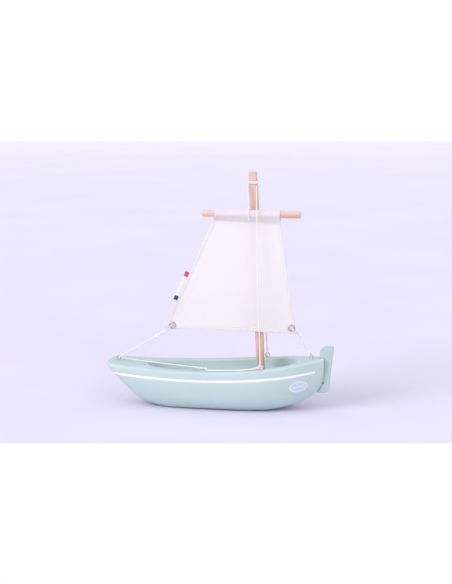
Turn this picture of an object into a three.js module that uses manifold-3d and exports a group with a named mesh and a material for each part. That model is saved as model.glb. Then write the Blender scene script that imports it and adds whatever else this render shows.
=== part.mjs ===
// A wooden toy sailing boat with one square-headed sail on a yard, a stepped mast and a hung rudder.
// Millimetres. +X towards the stern, +Y to starboard, +Z up. The hull stands on its flat bottom at z = 0.

import * as THREE from 'three';
import { mergeVertices } from 'three/addons/utils/BufferGeometryUtils.js';
import Module from 'manifold-3d';

const wasm = await Module();
wasm.setup();

// Driving dimensions
const GAP = 0.3;                 // air left between pieces that touch
const LOOP_POINTS = 84;          // points round each level line of the hull

// Hull form. The deck's half-breadth is a smooth line through these stations (x, half-breadth)
const DECK_STATIONS = [
  [-98, 22.2], [-60, 27], [-20, 32], [20, 34.1], [50, 31], [75, 23.4], [92, 13.8], [104.4, 6.4],
];
const BOW_TIP = -113.6;
const BOW_ROUNDING_STARTS = -98;
const STERN_END = 104.4;
const DECK_LOW = 41.6;           // deck height amidships
const DECK_SLOPE = 0.0475;       // the deck runs uphill towards the stern when the hull stands on its flat
const SHEER = 0.0006;            // and curves up at both ends
const GUNWALE_RADIUS = 2.2;
const FLAT_ENDS = 45;            // the flat that it stands on runs this far each way
const FLAT_HALF_WIDTH = 10;
const FOREFOOT = [-81, 8];       // x and z where the bow's straight rake meets the bottom
const STERN_RISE = 43;           // the stern's curved profile reaches its full length at this height
const SECTION_POWER = 2.3;       // fullness of the hull's sections
// Level lines of the hull, as shares of its height
const LEVELS = [0, 0.008, 0.025, 0.055, 0.1, 0.16, 0.24, 0.33, 0.43, 0.54, 0.66, 0.78, 0.89, 1];

const COCKPIT_MIDDLE = 14;
const COCKPIT_FORE = 86.2;
const COCKPIT_AFT = 63.6;
const COCKPIT_HALF_WIDTH = 24.1;
const COCKPIT_FLOOR = 17;

const MAST_SIDE = 7.5;
const MAST_RAKE = 0.0443;        // forward lean per unit of height
const MAST_AT_DECK = [41, 44.1]; // x and z of a point on the mast's axis
const MAST_FOOT = 8.4;
const MAST_TOP = 234.8;

const YARD_RADIUS = 3.25;
const YARD_LENGTH = 95.6;
const YARD_CENTRE = [32.7, -9.6, 195.2];
const SLEEVE_INSIDE = YARD_RADIUS + GAP;
const SLEEVE_OUTSIDE = 4.4;
const SLEEVE_ENDS = [-3.6, 60.4];

const CLOTH = 0.8;
const SAIL_HEAD = 191.4;
const SAIL_HEAD_Y = YARD_CENTRE[1];
const SAIL_FOOT = 74.6;          // the cloth leans forward evenly from here to its head
const SAIL_FOOT_Y = -5.6;
const TACK_CORNER = [-54.8, 75.9];
const CLEW_CORNER = [78.2, 77.4];
const LEECH_BEND = [75.2, 88.6];
const TACK_EYELET = [-46.4, 82.1];
const CLEW_EYELET = [72.2, 83.1];
const TAG_ENDS = [106.9, 135.2]; // where the tag is sewn along the sail's front edge
const TAG_REACH = [4.3, 1.9];    // how far it stands out, square to that edge

const CORD = 1.2;
const LASHING_RADIUS = SLEEVE_OUTSIDE + GAP + CORD / 2;
const LASHING_HOLE = [30.4, YARD_CENTRE[2] - LASHING_RADIUS];
const EYE_RING = 1.95;           // screw eye: radius to the middle of its wire
const EYE_WIRE = 0.55;
const EYE_HEIGHT = 2.7;          // ring centre above the deck
const EYE_SHANK = 8;
const EYE_STATIONS = { bow: [-102.9, 0], stern: [91.1, 0], port: [44.4, -27.6], starboard: [44.4, 27.6] };

const RUDDER_AXIS = 102.4;
const RUDDER_THICKNESS = 5;
const RUDDER_BOTTOM = 17.9;
const HEEL_FRONT = 96.9;         // its heel reaches forward under the stern
const HEEL_TOP = 21.2;
const GUDGEON_HEIGHTS = { lower: 28, upper: 44 };
const GUDGEON_WIRE = 0.5;
const PIN_RADIUS = 0.7;

const BALLAST_X = -8;
const BALLAST_RADIUS = 8;

// Colours, roughness and metalness
const FINISH = {
  hull_paint: [0xb9d6d4, 0.45, 0], beech: [0xdcb998, 0.6, 0], dowel: [0xe2bd98, 0.6, 0],
  cotton: [0xf2ece6, 0.95, 0], cord: [0xf4efe8, 0.9, 0], ribbon: [0xe8e6ee, 0.9, 0],
  nickel: [0xb9b4b0, 0.3, 1], brass: [0xc8a86a, 0.35, 1], steel: [0x7c7c80, 0.5, 1],
};

const boat = new THREE.Group();
boat.name = 'toy_sailing_boat';

function add(name, geometry, finish, place = [0, 0, 0], turn = [0, 0, 0]) {
  const [color, roughness, metalness] = FINISH[finish];
  const mesh = new THREE.Mesh(geometry, new THREE.MeshStandardMaterial({ color, roughness, metalness }));
  mesh.name = name;
  mesh.position.set(...place);
  mesh.rotation.set(...turn);
  boat.add(mesh);
  return mesh;
}

// Solids and booleans

function solid(geometry) {
  const bare = geometry.clone();
  bare.deleteAttribute('normal');
  bare.deleteAttribute('uv');
  const merged = mergeVertices(bare, 1e-5);
  return new wasm.Manifold(new wasm.Mesh({
    numProp: 3,
    vertProperties: new Float32Array(merged.attributes.position.array),
    triVerts: new Uint32Array(merged.index.array),
  }));
}

function geometryOf(body) {
  const mesh = body.getMesh();
  const geometry = new THREE.BufferGeometry();
  geometry.setAttribute('position', new THREE.BufferAttribute(new Float32Array(mesh.vertProperties), 3));
  geometry.setIndex(new THREE.BufferAttribute(new Uint32Array(mesh.triVerts), 1));
  return geometry;
}

function placed(geometry, position, turn = [0, 0, 0]) {
  const matrix = new THREE.Matrix4().makeRotationFromEuler(new THREE.Euler(...turn));
  matrix.setPosition(...position);
  return geometry.clone().applyMatrix4(matrix);
}

// Cylinder from one point to another
function rod(from, to, radius, sides = 20) {
  const a = new THREE.Vector3(...from);
  const b = new THREE.Vector3(...to);
  const along = b.clone().sub(a);
  const geometry = new THREE.CylinderGeometry(radius, radius, along.length(), sides);
  const upright = new THREE.Vector3(0, 1, 0);
  const turn = new THREE.Quaternion().setFromUnitVectors(upright, along.clone().normalize());
  geometry.applyQuaternion(turn);
  const middle = a.add(b).multiplyScalar(0.5);
  geometry.translate(middle.x, middle.y, middle.z);
  return geometry;
}

// Ring of round wire: its centre, the direction that its hole faces, and its two radii
function wireRing(centre, facing, radius, wire, around = 20, sides = 10) {
  const geometry = new THREE.TorusGeometry(radius, wire, sides, around);
  const normal = new THREE.Vector3(...facing).normalize();
  geometry.applyQuaternion(new THREE.Quaternion().setFromUnitVectors(new THREE.Vector3(0, 0, 1), normal));
  geometry.translate(...centre);
  return geometry;
}

// Round cord that follows a smooth line through the points
function cordThrough(points, steps, diameter = CORD) {
  const line = new THREE.CatmullRomCurve3(points.map((p) => new THREE.Vector3(...p)), false, 'centripetal');
  const section = new THREE.Shape();
  section.absarc(0, 0, diameter / 2, 0, Math.PI * 2, false);
  const settings = { steps, curveSegments: 4, extrudePath: line, bevelEnabled: false };
  return new THREE.ExtrudeGeometry(section, settings);
}

// Closed body between level loops that all have the same number of points. Each loop is mirrored about
// y = 0, so both ends close with strips that run straight across.
function bodyBetween(loops) {
  const count = loops[0].length;
  const positions = loops.flat(2);
  const index = [];
  for (let level = 0; level + 1 < loops.length; level += 1) {
    for (let i = 0; i < count; i += 1) {
      const a = level * count + i;
      const b = level * count + ((i + 1) % count);
      index.push(a, b, b + count, a, b + count, a + count);
    }
  }
  const top = (loops.length - 1) * count;
  for (let i = 0; i < count / 2; i += 1) {
    const left = [i, i + 1];
    const right = [(count - i) % count, count - i - 1];
    index.push(left[0], right[1], left[1]);
    index.push(top + left[0], top + left[1], top + right[1]);
    if (i > 0) {
      index.push(left[0], right[0], right[1]);
      index.push(top + left[0], top + right[1], top + right[0]);
    }
  }
  const clean = [];
  for (let i = 0; i < index.length; i += 3) {
    const [a, b, c] = index.slice(i, i + 3);
    if (a !== b && b !== c && c !== a) clean.push(a, b, c);
  }
  const geometry = new THREE.BufferGeometry();
  geometry.setAttribute('position', new THREE.Float32BufferAttribute(positions, 3));
  geometry.setIndex(clean);
  return geometry;
}

// Hull

const clamp01 = (value) => Math.min(1, Math.max(0, value));
const mix = (a, b, share) => a + (b - a) * share;
const deckHeight = (x) => DECK_LOW + DECK_SLOPE * x + SHEER * x * x;
const railHeight = (x) => deckHeight(x) - GUNWALE_RADIUS;

// Smooth curve through stations [x, value], straight beyond its ends
function through(stations, x) {
  const last = stations.length - 1;
  const slope = (a, b) => (stations[b][1] - stations[a][1]) / (stations[b][0] - stations[a][0]);
  const slopeAt = (k) => slope(Math.max(0, k - 1), Math.min(last, k + 1));
  if (x <= stations[0][0]) return stations[0][1] + slopeAt(0) * (x - stations[0][0]);
  if (x >= stations[last][0]) return stations[last][1] + slopeAt(last) * (x - stations[last][0]);
  let k = 0;
  while (x > stations[k + 1][0]) k += 1;
  const span = stations[k + 1][0] - stations[k][0];
  const t = (x - stations[k][0]) / span;
  const [m0, m1] = [slopeAt(k) * span, slopeAt(k + 1) * span];
  const rise = stations[k + 1][1] - stations[k][1];
  return stations[k][1] + m0 * t + (3 * rise - 2 * m0 - m1) * t ** 2 + (m0 + m1 - 2 * rise) * t ** 3;
}

function deckHalf(x) {
  const intoBow = clamp01((BOW_ROUNDING_STARTS - x) / (BOW_ROUNDING_STARTS - BOW_TIP));
  return through(DECK_STATIONS, x) * Math.cbrt(1 - intoBow ** 3);
}

// Half-width of the bottom, which narrows beyond the flat at both ends
function bottomHalf(x) {
  const fore = Math.min(36, Math.max(0, -FLAT_ENDS - x)) * 0.11;
  const aft = Math.max(0, x - 20) * 0.14;
  return Math.max(1.2, Math.min(FLAT_HALF_WIDTH - fore - aft, 0.7 * deckHalf(x)));
}

// Height of the hull's bottom on its centreline
function keelHeight(x) {
  if (x > FLAT_ENDS) {
    const along = clamp01((x - FLAT_ENDS) / (STERN_END - FLAT_ENDS));
    return STERN_RISE * (1 - Math.cbrt(1 - along ** 1.5));
  }
  const beyondFlat = Math.max(0, -FLAT_ENDS - x);
  const beyondFoot = FOREFOOT[0] - x;
  const bottom = 0.0052 * beyondFlat ** 2;
  const rake = FOREFOOT[1] + 0.9 * beyondFoot + 0.0043 * Math.max(0, beyondFoot) ** 2;
  return beyondFlat > 0 ? Math.max(0, (bottom + rake + Math.hypot(bottom - rake, 1.2)) / 2) : 0;
}

// Where the centreline profile crosses a level, looking from the middle towards one end
function profileEnd(level, end) {
  let inside = Math.sign(end) * FLAT_ENDS;
  let outside = end;
  if (keelHeight(outside) <= level * railHeight(outside)) return outside;
  for (let k = 0; k < 50; k += 1) {
    const middle = (inside + outside) / 2;
    if (keelHeight(middle) <= level * railHeight(middle)) inside = middle;
    else outside = middle;
  }
  return inside;
}

function halfBreadth(x, level) {
  const keelLevel = Math.min(0.999, keelHeight(x) / railHeight(x));
  const depth = clamp01((1 - level) / (1 - keelLevel));
  return mix(bottomHalf(x), deckHalf(x), (1 - depth ** SECTION_POWER) ** (1 / SECTION_POWER));
}

// One level line: from the bow down the starboard side to the stern, and back along the port side. Points
// are spread by distance and by how much the line turns, so that its corners stay crisp
function levelLine(level, count = LOOP_POINTS) {
  const bow = profileEnd(level, BOW_TIP);
  const stern = profileEnd(level, STERN_END);
  const fine = [[bow, 0]];
  for (let i = 0; i <= 600; i += 1) {
    const x = mix(bow, stern, (1 - Math.cos((Math.PI * i) / 600)) / 2);
    fine.push([x, halfBreadth(x, level)]);
  }
  fine.push([stern, 0]);
  const travelled = [0];
  let heading = Math.PI / 2;
  for (let i = 1; i < fine.length; i += 1) {
    const step = [fine[i][0] - fine[i - 1][0], fine[i][1] - fine[i - 1][1]];
    const length = Math.hypot(...step);
    const turn = length > 1e-9 ? Math.abs(Math.atan2(step[1], step[0]) - heading) : 0;
    heading = length > 1e-9 ? Math.atan2(step[1], step[0]) : heading;
    travelled.push(travelled[i - 1] + length + 12 * turn);
  }
  const half = [];
  let k = 1;
  for (let i = 0; i <= count / 2; i += 1) {
    const target = (travelled[travelled.length - 1] * i) / (count / 2);
    while (k < travelled.length - 1 && travelled[k] < target) k += 1;
    const share = clamp01((target - travelled[k - 1]) / (travelled[k] - travelled[k - 1] || 1));
    half.push([mix(fine[k - 1][0], fine[k][0], share), mix(fine[k - 1][1], fine[k][1], share)]);
  }
  half[0][1] = 0;
  half[count / 2][1] = 0;
  const other = half.slice(1, -1).reverse().map(([x, y]) => [x, -y]);
  return [...half, ...other];
}

// The rounded gunwale: turn 0 is its outermost line and 90 degrees its edge on the deck
function gunwalePoint([x, y], normal, turn) {
  const inward = GUNWALE_RADIUS * (1 - Math.cos(turn));
  const px = x - normal[0] * inward;
  const py = y - normal[1] * inward;
  return [px, py, deckHeight(px) - GUNWALE_RADIUS * (1 - Math.sin(turn))];
}

function outwardNormals(loop) {
  return loop.map((_, i) => {
    const before = loop[(i + loop.length - 1) % loop.length];
    const after = loop[(i + 1) % loop.length];
    const along = [after[0] - before[0], after[1] - before[1]];
    const length = Math.hypot(...along);
    return [-along[1] / length, along[0] / length];
  });
}

function hullBlank() {
  const loops = LEVELS.map((level) => levelLine(level).map(([x, y]) => [x, y, level * railHeight(x)]));
  const rail = levelLine(1);
  const normals = outwardNormals(rail);
  for (const degrees of [30, 60, 90]) {
    loops.push(rail.map((point, i) => gunwalePoint(point, normals[i], THREE.MathUtils.degToRad(degrees))));
  }
  return bodyBetween(loops.map((loop) => loop.reverse()));
}

// Level outline of the cockpit: a rounded oval, fuller at its after end
function cockpitLoop(inset, z, count = 56) {
  const points = [];
  for (let i = 0; i < count; i += 1) {
    const angle = Math.PI - (i / count) * Math.PI * 2;
    const c = Math.cos(angle);
    const s = Math.sin(angle);
    const power = c < 0 ? 2.2 : 2.6;
    const reach = (c < 0 ? COCKPIT_FORE : COCKPIT_AFT) - inset;
    const x = COCKPIT_MIDDLE + Math.sign(c) * reach * Math.abs(c) ** (2 / power);
    const y = Math.sign(s) * (COCKPIT_HALF_WIDTH - inset) * Math.abs(s) ** (2 / power);
    points.push([x, Math.abs(y) < 1e-9 ? 0 : y, z]);
  }
  return points.reverse();
}

function cockpitHollow() {
  const levels = [[7, 0], [4.6, 0.9], [3.2, 2.6], [2.4, 6], [0, 24], [0, 45]];
  return bodyBetween(levels.map(([inset, rise]) => cockpitLoop(inset, COCKPIT_FLOOR + rise)));
}

const mastX = (z) => MAST_AT_DECK[0] - MAST_RAKE * (z - MAST_AT_DECK[1]);

// Square bar along the mast's axis
function mastBar(side, low, high, chamfer) {
  const half = side / 2;
  const shape = new THREE.Shape();
  shape.moveTo(-half + chamfer, -half);
  shape.lineTo(half - chamfer, -half);
  shape.lineTo(half, -half + chamfer);
  shape.lineTo(half, half - chamfer);
  shape.lineTo(half - chamfer, half);
  shape.lineTo(-half + chamfer, half);
  shape.lineTo(-half, half - chamfer);
  shape.lineTo(-half, -half + chamfer);
  const lean = Math.atan(MAST_RAKE);
  const length = (high - low) / Math.cos(lean);
  const bar = new THREE.ExtrudeGeometry(shape, { depth: length, bevelEnabled: false });
  return placed(bar, [mastX(low), 0, low], [0, -lean, 0]);
}

// Upright slot for the rudder's front edge: round at the front, and wider aft so that the rudder can turn
function rudderSlot() {
  const round = RUDDER_THICKNESS / 2 + 0.7;
  const shape = new THREE.Shape();
  shape.moveTo(6, -7.9);
  shape.lineTo(6, 7.9);
  shape.lineTo(0, round);
  shape.absarc(0, 0, round, Math.PI / 2, Math.PI * 1.5, false);
  const slot = new THREE.ExtrudeGeometry(shape, { depth: 70, bevelEnabled: false, curveSegments: 12 });
  slot.translate(RUDDER_AXIS, 0, -5);
  return slot;
}

function buildHull() {
  let hull = solid(hullBlank());
  hull = hull.subtract(solid(cockpitHollow()));
  hull = hull.subtract(solid(mastBar(MAST_SIDE + 2 * GAP, MAST_FOOT - GAP, 40, 0.4)));
  hull = hull.subtract(solid(rudderSlot()));
  const bore = rod([BALLAST_X, 0, -2], [BALLAST_X, 0, 14.3], BALLAST_RADIUS + GAP, 40);
  hull = hull.subtract(solid(bore));
  for (const [x, y] of Object.values(EYE_STATIONS)) {
    const deck = deckHeight(x);
    hull = hull.subtract(solid(rod([x, y, deck - EYE_SHANK - GAP], [x, y, deck + 3], EYE_WIRE + GAP, 12)));
  }
  for (const z of Object.values(GUDGEON_HEIGHTS)) {
    hull = hull.subtract(solid(rod([RUDDER_AXIS - 11, 0, z], [RUDDER_AXIS, 0, z], GUDGEON_WIRE + GAP, 12)));
  }
  return geometryOf(hull);
}

add('hull', buildHull(), 'hull_paint');
add('ballast_slug', rod([BALLAST_X, 0, 3.6], [BALLAST_X, 0, 14], BALLAST_RADIUS, 40), 'steel');
add('ballast_plug', rod([BALLAST_X, 0, 0.3], [BALLAST_X, 0, 3.3], BALLAST_RADIUS, 40), 'hull_paint');

// Mast

add('mast', mastBar(MAST_SIDE, MAST_FOOT, MAST_TOP, 0.5), 'beech');

// Yard and sail

const [YARD_X, YARD_Y, YARD_Z] = YARD_CENTRE;
const yardEnds = [YARD_X - YARD_LENGTH / 2, YARD_X + YARD_LENGTH / 2];
add('yard', rod([yardEnds[0], YARD_Y, YARD_Z], [yardEnds[1], YARD_Y, YARD_Z], YARD_RADIUS, 28), 'dowel');

const clothY = (z) => mix(SAIL_FOOT_Y, SAIL_HEAD_Y, clamp01((z - SAIL_FOOT) / (SAIL_HEAD - SAIL_FOOT)));
const clothLean = Math.atan((SAIL_FOOT_Y - SAIL_HEAD_Y) / (SAIL_HEAD - SAIL_FOOT));

function sailSheet() {
  const shape = new THREE.Shape();
  shape.moveTo(...TACK_CORNER);
  shape.bezierCurveTo(-37, 82, 30, 81, ...CLEW_CORNER);
  shape.lineTo(...LEECH_BEND);
  shape.lineTo(SLEEVE_ENDS[1], SAIL_HEAD);
  shape.lineTo(SLEEVE_ENDS[0], SAIL_HEAD);
  const sheet = new THREE.ExtrudeGeometry(shape, { depth: CLOTH, bevelEnabled: false });
  sheet.rotateX(Math.PI / 2);
  sheet.translate(0, CLOTH / 2, 0);
  const position = sheet.attributes.position;
  for (let i = 0; i < position.count; i += 1) {
    position.setY(i, position.getY(i) + clothY(position.getZ(i)));
  }
  return sheet;
}

function buildSail() {
  const [start, end] = SLEEVE_ENDS;
  const corners = [
    [SLEEVE_INSIDE, start], [SLEEVE_OUTSIDE, start], [SLEEVE_OUTSIDE, end], [SLEEVE_INSIDE, end],
    [SLEEVE_INSIDE, start],
  ];
  const tube = corners.map(([radius, along]) => new THREE.Vector2(radius, along));
  const sleeve = new THREE.LatheGeometry(tube, 28);
  sleeve.rotateZ(-Math.PI / 2);
  sleeve.translate(0, YARD_Y, YARD_Z);
  let sail = solid(sleeve).add(solid(sailSheet()));
  for (const [x, z, radius] of [[...TACK_EYELET, 2.6], [...CLEW_EYELET, 2.6], [...LASHING_HOLE, 1]]) {
    const y = clothY(z);
    sail = sail.subtract(solid(rod([x, y - 3, z], [x, y + 3, z], radius, 20)));
  }
  return geometryOf(sail);
}

add('sail', buildSail(), 'cotton');

// A sail eyelet is a flanged barrel, closed over a washer behind the cloth
function addEyelet(name, [x, z]) {
  const front = -CLOTH / 2 - GAP;
  const back = CLOTH / 2 + GAP;
  const bore = 1.95;
  const flange = [[bore, front - 0.6], [3.5, front - 0.45], [3.5, front], [2.25, front], [2.25, back + 0.5],
    [bore, back + 0.5], [bore, front - 0.6]].map(([r, h]) => new THREE.Vector2(r, h));
  const washer = [[2.55, back], [3.4, back], [3.4, back + 0.4], [2.55, back + 0.4], [2.55, back]]
    .map(([r, h]) => new THREE.Vector2(r, h));
  const place = [x, clothY(z), z];
  add(`${name}_eyelet`, new THREE.LatheGeometry(flange, 24), 'nickel', place, [clothLean, 0, 0]);
  add(`${name}_eyelet_washer`, new THREE.LatheGeometry(washer, 24), 'nickel', place, [clothLean, 0, 0]);
}

addEyelet('tack', TACK_EYELET);
addEyelet('clew', CLEW_EYELET);

// Folded ribbon that stands out from the sail's front edge
function buildTag() {
  const rise = SAIL_HEAD - TACK_CORNER[1];
  const edgeX = (z) => mix(TACK_CORNER[0], SLEEVE_ENDS[0], (z - TACK_CORNER[1]) / rise);
  const [low, high] = TAG_ENDS;
  const shape = new THREE.Shape();
  shape.moveTo(edgeX(low) - GAP, low);
  shape.lineTo(edgeX(high) - GAP, high);
  shape.lineTo(edgeX(high) - GAP - TAG_REACH[0], high + TAG_REACH[1]);
  shape.lineTo(edgeX(low) - GAP - TAG_REACH[0], low + TAG_REACH[1]);
  const ribbon = new THREE.ExtrudeGeometry(shape, { depth: 0.6, bevelEnabled: false });
  ribbon.rotateX(Math.PI / 2);
  ribbon.translate(0, clothY((low + high) / 2) + 0.3, 0);
  return ribbon;
}

add('sail_tag', buildTag(), 'ribbon');

// Screw eyes

const ringCentre = (station) => [station[0], station[1], deckHeight(station[0]) + EYE_HEIGHT];

function buildScrewEye(station, facing) {
  const centre = ringCentre(station);
  const low = centre[2] - EYE_HEIGHT - EYE_SHANK;
  const ring = solid(wireRing(centre, facing, EYE_RING, EYE_WIRE));
  const [x, y, z] = centre;
  const shank = solid(rod([x, y, low], [x, y, z - EYE_RING], EYE_WIRE, 12));
  return geometryOf(ring.add(shank));
}

const EYE_FACING = { bow: [0.12, 1, 0], stern: [0.3, 1, 0], port: [0, 1, 0], starboard: [0, 1, 0] };
for (const [name, station] of Object.entries(EYE_STATIONS)) {
  add(`${name}_screw_eye`, buildScrewEye(station, EYE_FACING[name]), 'nickel');
}

// Rudder, its pin and the two eyes that it hangs on

function rudderOutline() {
  const shape = new THREE.Shape();
  shape.moveTo(HEEL_FRONT, RUDDER_BOTTOM);
  shape.lineTo(105.4, RUDDER_BOTTOM);
  shape.quadraticCurveTo(109.2, RUDDER_BOTTOM, 109.7, 22.6);
  shape.quadraticCurveTo(110.6, 40, 112.3, 51.5);
  shape.lineTo(113.8, 64.3);
  shape.lineTo(105.2, 64.3);
  shape.quadraticCurveTo(100.4, 64.1, RUDDER_AXIS - 2.5, 59.9);
  shape.lineTo(RUDDER_AXIS - 2.5, HEEL_TOP);
  return shape;
}

function buildRudder() {
  const half = RUDDER_THICKNESS / 2;
  const settings = { depth: RUDDER_THICKNESS, bevelEnabled: false };
  const profile = new THREE.ExtrudeGeometry(rudderOutline(), settings);
  profile.rotateX(Math.PI / 2);
  profile.translate(0, half, 0);
  const after = new THREE.BoxGeometry(20, RUDDER_THICKNESS + 1, 80);
  after.translate(RUDDER_AXIS + 10, 0, 40);
  const nose = rod([RUDDER_AXIS, 0, 0], [RUDDER_AXIS, 0, 80], half, 32);
  const heel = new THREE.BoxGeometry(12, RUDDER_THICKNESS + 1, 10);
  heel.translate(RUDDER_AXIS - 3, 0, HEEL_TOP - 5);
  let rudder = solid(nose).add(solid(after)).add(solid(heel)).intersect(solid(profile));
  rudder = rudder.subtract(solid(rod([RUDDER_AXIS, 0, 0], [RUDDER_AXIS, 0, 51.3], PIN_RADIUS + GAP, 16)));
  for (const z of Object.values(GUDGEON_HEIGHTS)) {
    rudder = rudder.subtract(solid(rod([RUDDER_AXIS, 0, z - 0.9], [RUDDER_AXIS, 0, z + 0.9], 3.1, 24)));
  }
  return geometryOf(rudder);
}

add('rudder', buildRudder(), 'hull_paint');
add('rudder_pin', rod([RUDDER_AXIS, 0, RUDDER_BOTTOM + 0.6], [RUDDER_AXIS, 0, 51], PIN_RADIUS, 16), 'brass');
for (const [name, z] of Object.entries(GUDGEON_HEIGHTS)) {
  const ring = solid(wireRing([RUDDER_AXIS, 0, z], [0, 0, 1], 1.9, GUDGEON_WIRE));
  const shank = solid(rod([RUDDER_AXIS - 10.5, 0, z], [RUDDER_AXIS - 1.9, 0, z], GUDGEON_WIRE, 12));
  add(`rudder_eye_${name}`, geometryOf(ring.add(shank)), 'brass');
}

// Rigging

const HITCH_RADIUS = 1.9;
const HITCH_OFFSET = 0.55;       // the loop bears on the ring's far side
const HITCH_KNOT = HITCH_OFFSET + 2 * HITCH_RADIUS + 0.8;
const KNOT_RADIUS = 1.5;

// Small loop of cord through a ring, closed by a knot on the side that the line comes from
function buildHitch(centre, facing, towards) {
  const c = new THREE.Vector3(...centre);
  const line = new THREE.Vector3(...towards).sub(c).normalize();
  const side = new THREE.Vector3().crossVectors(line, new THREE.Vector3(...facing).normalize()).normalize();
  const loopAt = c.clone().addScaledVector(line, HITCH_RADIUS + HITCH_OFFSET);
  const knotAt = c.clone().addScaledVector(line, HITCH_KNOT);
  const loop = solid(wireRing(loopAt.toArray(), side.toArray(), HITCH_RADIUS, CORD / 2 - 0.1, 16, 8));
  const knot = solid(placed(new THREE.SphereGeometry(KNOT_RADIUS, 12, 8), knotAt.toArray()));
  return geometryOf(loop.add(knot));
}

// Where a line that runs to a hitch stops, just short of the hitch's knot
function lineEnd(centre, towards) {
  const c = new THREE.Vector3(...centre);
  const line = new THREE.Vector3(...towards).sub(c).normalize();
  return c.addScaledVector(line, HITCH_KNOT + KNOT_RADIUS + GAP).toArray();
}

function addKnot(name, centre, radius = KNOT_RADIUS) {
  add(name, new THREE.SphereGeometry(radius, 12, 8), 'cord', centre);
}

const MASTHEAD_BAND = [223.7, 226.7];
function buildBand() {
  const inside = MAST_SIDE / 2 + GAP;
  const outside = inside + CORD;
  const shape = new THREE.Shape();
  shape.moveTo(-outside + 1.3, -outside);
  shape.lineTo(outside - 1.3, -outside);
  shape.quadraticCurveTo(outside, -outside, outside, -outside + 1.3);
  shape.lineTo(outside, outside - 1.3);
  shape.quadraticCurveTo(outside, outside, outside - 1.3, outside);
  shape.lineTo(-outside + 1.3, outside);
  shape.quadraticCurveTo(-outside, outside, -outside, outside - 1.3);
  shape.lineTo(-outside, -outside + 1.3);
  shape.quadraticCurveTo(-outside, -outside, -outside + 1.3, -outside);
  const hole = new THREE.Path();
  hole.moveTo(-inside, -inside);
  hole.lineTo(-inside, inside);
  hole.lineTo(inside, inside);
  hole.lineTo(inside, -inside);
  shape.holes.push(hole);
  const depth = MASTHEAD_BAND[1] - MASTHEAD_BAND[0];
  const band = new THREE.ExtrudeGeometry(shape, { depth, bevelEnabled: false, curveSegments: 4 });
  return placed(band, [mastX(MASTHEAD_BAND[0]), 0, MASTHEAD_BAND[0]], [0, -Math.atan(MAST_RAKE), 0]);
}

add('masthead_lashing', buildBand(), 'cord');
add('yard_lashing', wireRing([LASHING_HOLE[0], YARD_Y, YARD_Z], [1, 0, 0], LASHING_RADIUS, CORD / 2), 'cord');

const SLING = [[28.6, -5.2, 222.9], [28.8, -6.2, 217], [29.7, -7.8, 209], [30.4, -9.9, 201.8]];
add('yard_sling', cordThrough(SLING, 14), 'cord');

const portRing = ringCentre(EYE_STATIONS.port);
const starboardRing = ringCentre(EYE_STATIONS.starboard);
const bowRing = ringCentre(EYE_STATIONS.bow);
const sternRing = ringCentre(EYE_STATIONS.stern);

const PORT_SHROUD = [
  [37.2, -6.3, 222], [37.6, -8.6, 216], [38.4, -13, 206], [38.8, -16.3, 197], [39.1, -17.2, 189],
  [40.5, -20.4, 145], [42.2, -24, 95], lineEnd(portRing, [42.2, -24, 95]),
];
add('port_shroud', cordThrough(PORT_SHROUD, 36), 'cord');

const STARBOARD_SHROUD = [[36.8, 6.2, 222], [37.4, 8.2, 205], [39.6, 14, 150], [42, 21, 95],
  lineEnd(starboardRing, [42, 21, 95])];
add('starboard_shroud', cordThrough(STARBOARD_SHROUD, 30), 'cord');
add('port_hitch', buildHitch(portRing, EYE_FACING.port, [42.2, -24, 95]), 'cord');
add('starboard_hitch', buildHitch(starboardRing, EYE_FACING.starboard, [42, 21, 95]), 'cord');

// A doubled cord runs through each eyelet and round the sail's corner to a knot
const BIGHT_SPREAD = 2.3;        // how far its two parts stand off the cloth beside the eyelet
const BIGHT_AT_KNOT = 1;         // and off the knot's middle
function bight([eyeletX, eyeletZ], [knotX, knotY, knotZ]) {
  const y = clothY(eyeletZ);
  const out = Math.sign(knotX - eyeletX);
  const near = [mix(eyeletX, knotX, 0.45), mix(eyeletZ, knotZ, 0.45)];
  const last = [mix(eyeletX, knotX, 0.86), mix(eyeletZ, knotZ, 0.86)];
  const leg = (side) => [
    [last[0], knotY + side * BIGHT_AT_KNOT, last[1]],
    [near[0], y + side * BIGHT_SPREAD, near[1]],
    [eyeletX + out * 2.2, y + side * (BIGHT_SPREAD + 0.4), eyeletZ - 0.6],
    [eyeletX + out * 0.3, y + side * BIGHT_SPREAD * 0.62, eyeletZ],
  ];
  return [...leg(-1), [eyeletX, y, eyeletZ], ...leg(1).reverse()];
}

const TACK_KNOT = [-62.8, -4.6, 70.2];
const CLEW_KNOT = [80.9, -5, 76.2];
add('tack_bight', cordThrough(bight(TACK_EYELET, TACK_KNOT), 40, 1.0), 'cord');
addKnot('tack_knot', TACK_KNOT);
add('clew_bight', cordThrough(bight(CLEW_EYELET, CLEW_KNOT), 40, 1.0), 'cord');
addKnot('clew_knot', CLEW_KNOT);

function stopShort(from, to, distance) {
  const a = new THREE.Vector3(...from);
  return a.addScaledVector(new THREE.Vector3(...to).sub(a).normalize(), distance).toArray();
}

const KNOT_CLEAR = KNOT_RADIUS + GAP + 0.2;
const TACK_LINE = [stopShort(TACK_KNOT, bowRing, KNOT_CLEAR), lineEnd(bowRing, TACK_KNOT)];
add('tack_line', cordThrough(TACK_LINE, 14), 'cord');
const SHEET_LINE = [stopShort(CLEW_KNOT, sternRing, KNOT_CLEAR), lineEnd(sternRing, CLEW_KNOT)];
add('sheet_line', cordThrough(SHEET_LINE, 10), 'cord');
add('bow_hitch', buildHitch(bowRing, EYE_FACING.bow, TACK_KNOT), 'cord');
add('stern_hitch', buildHitch(sternRing, EYE_FACING.stern, CLEW_KNOT), 'cord');
const TAIL = [[79.9, -5, 74], [79.3, -5.1, 71], [79.6, -5.2, 67], [79.2, -5.1, 62.4]];
add('sheet_tail', cordThrough(TAIL, 10), 'cord');
addKnot('sheet_tail_knot', [79.2, -5.1, 60.7], 1.1);

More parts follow.
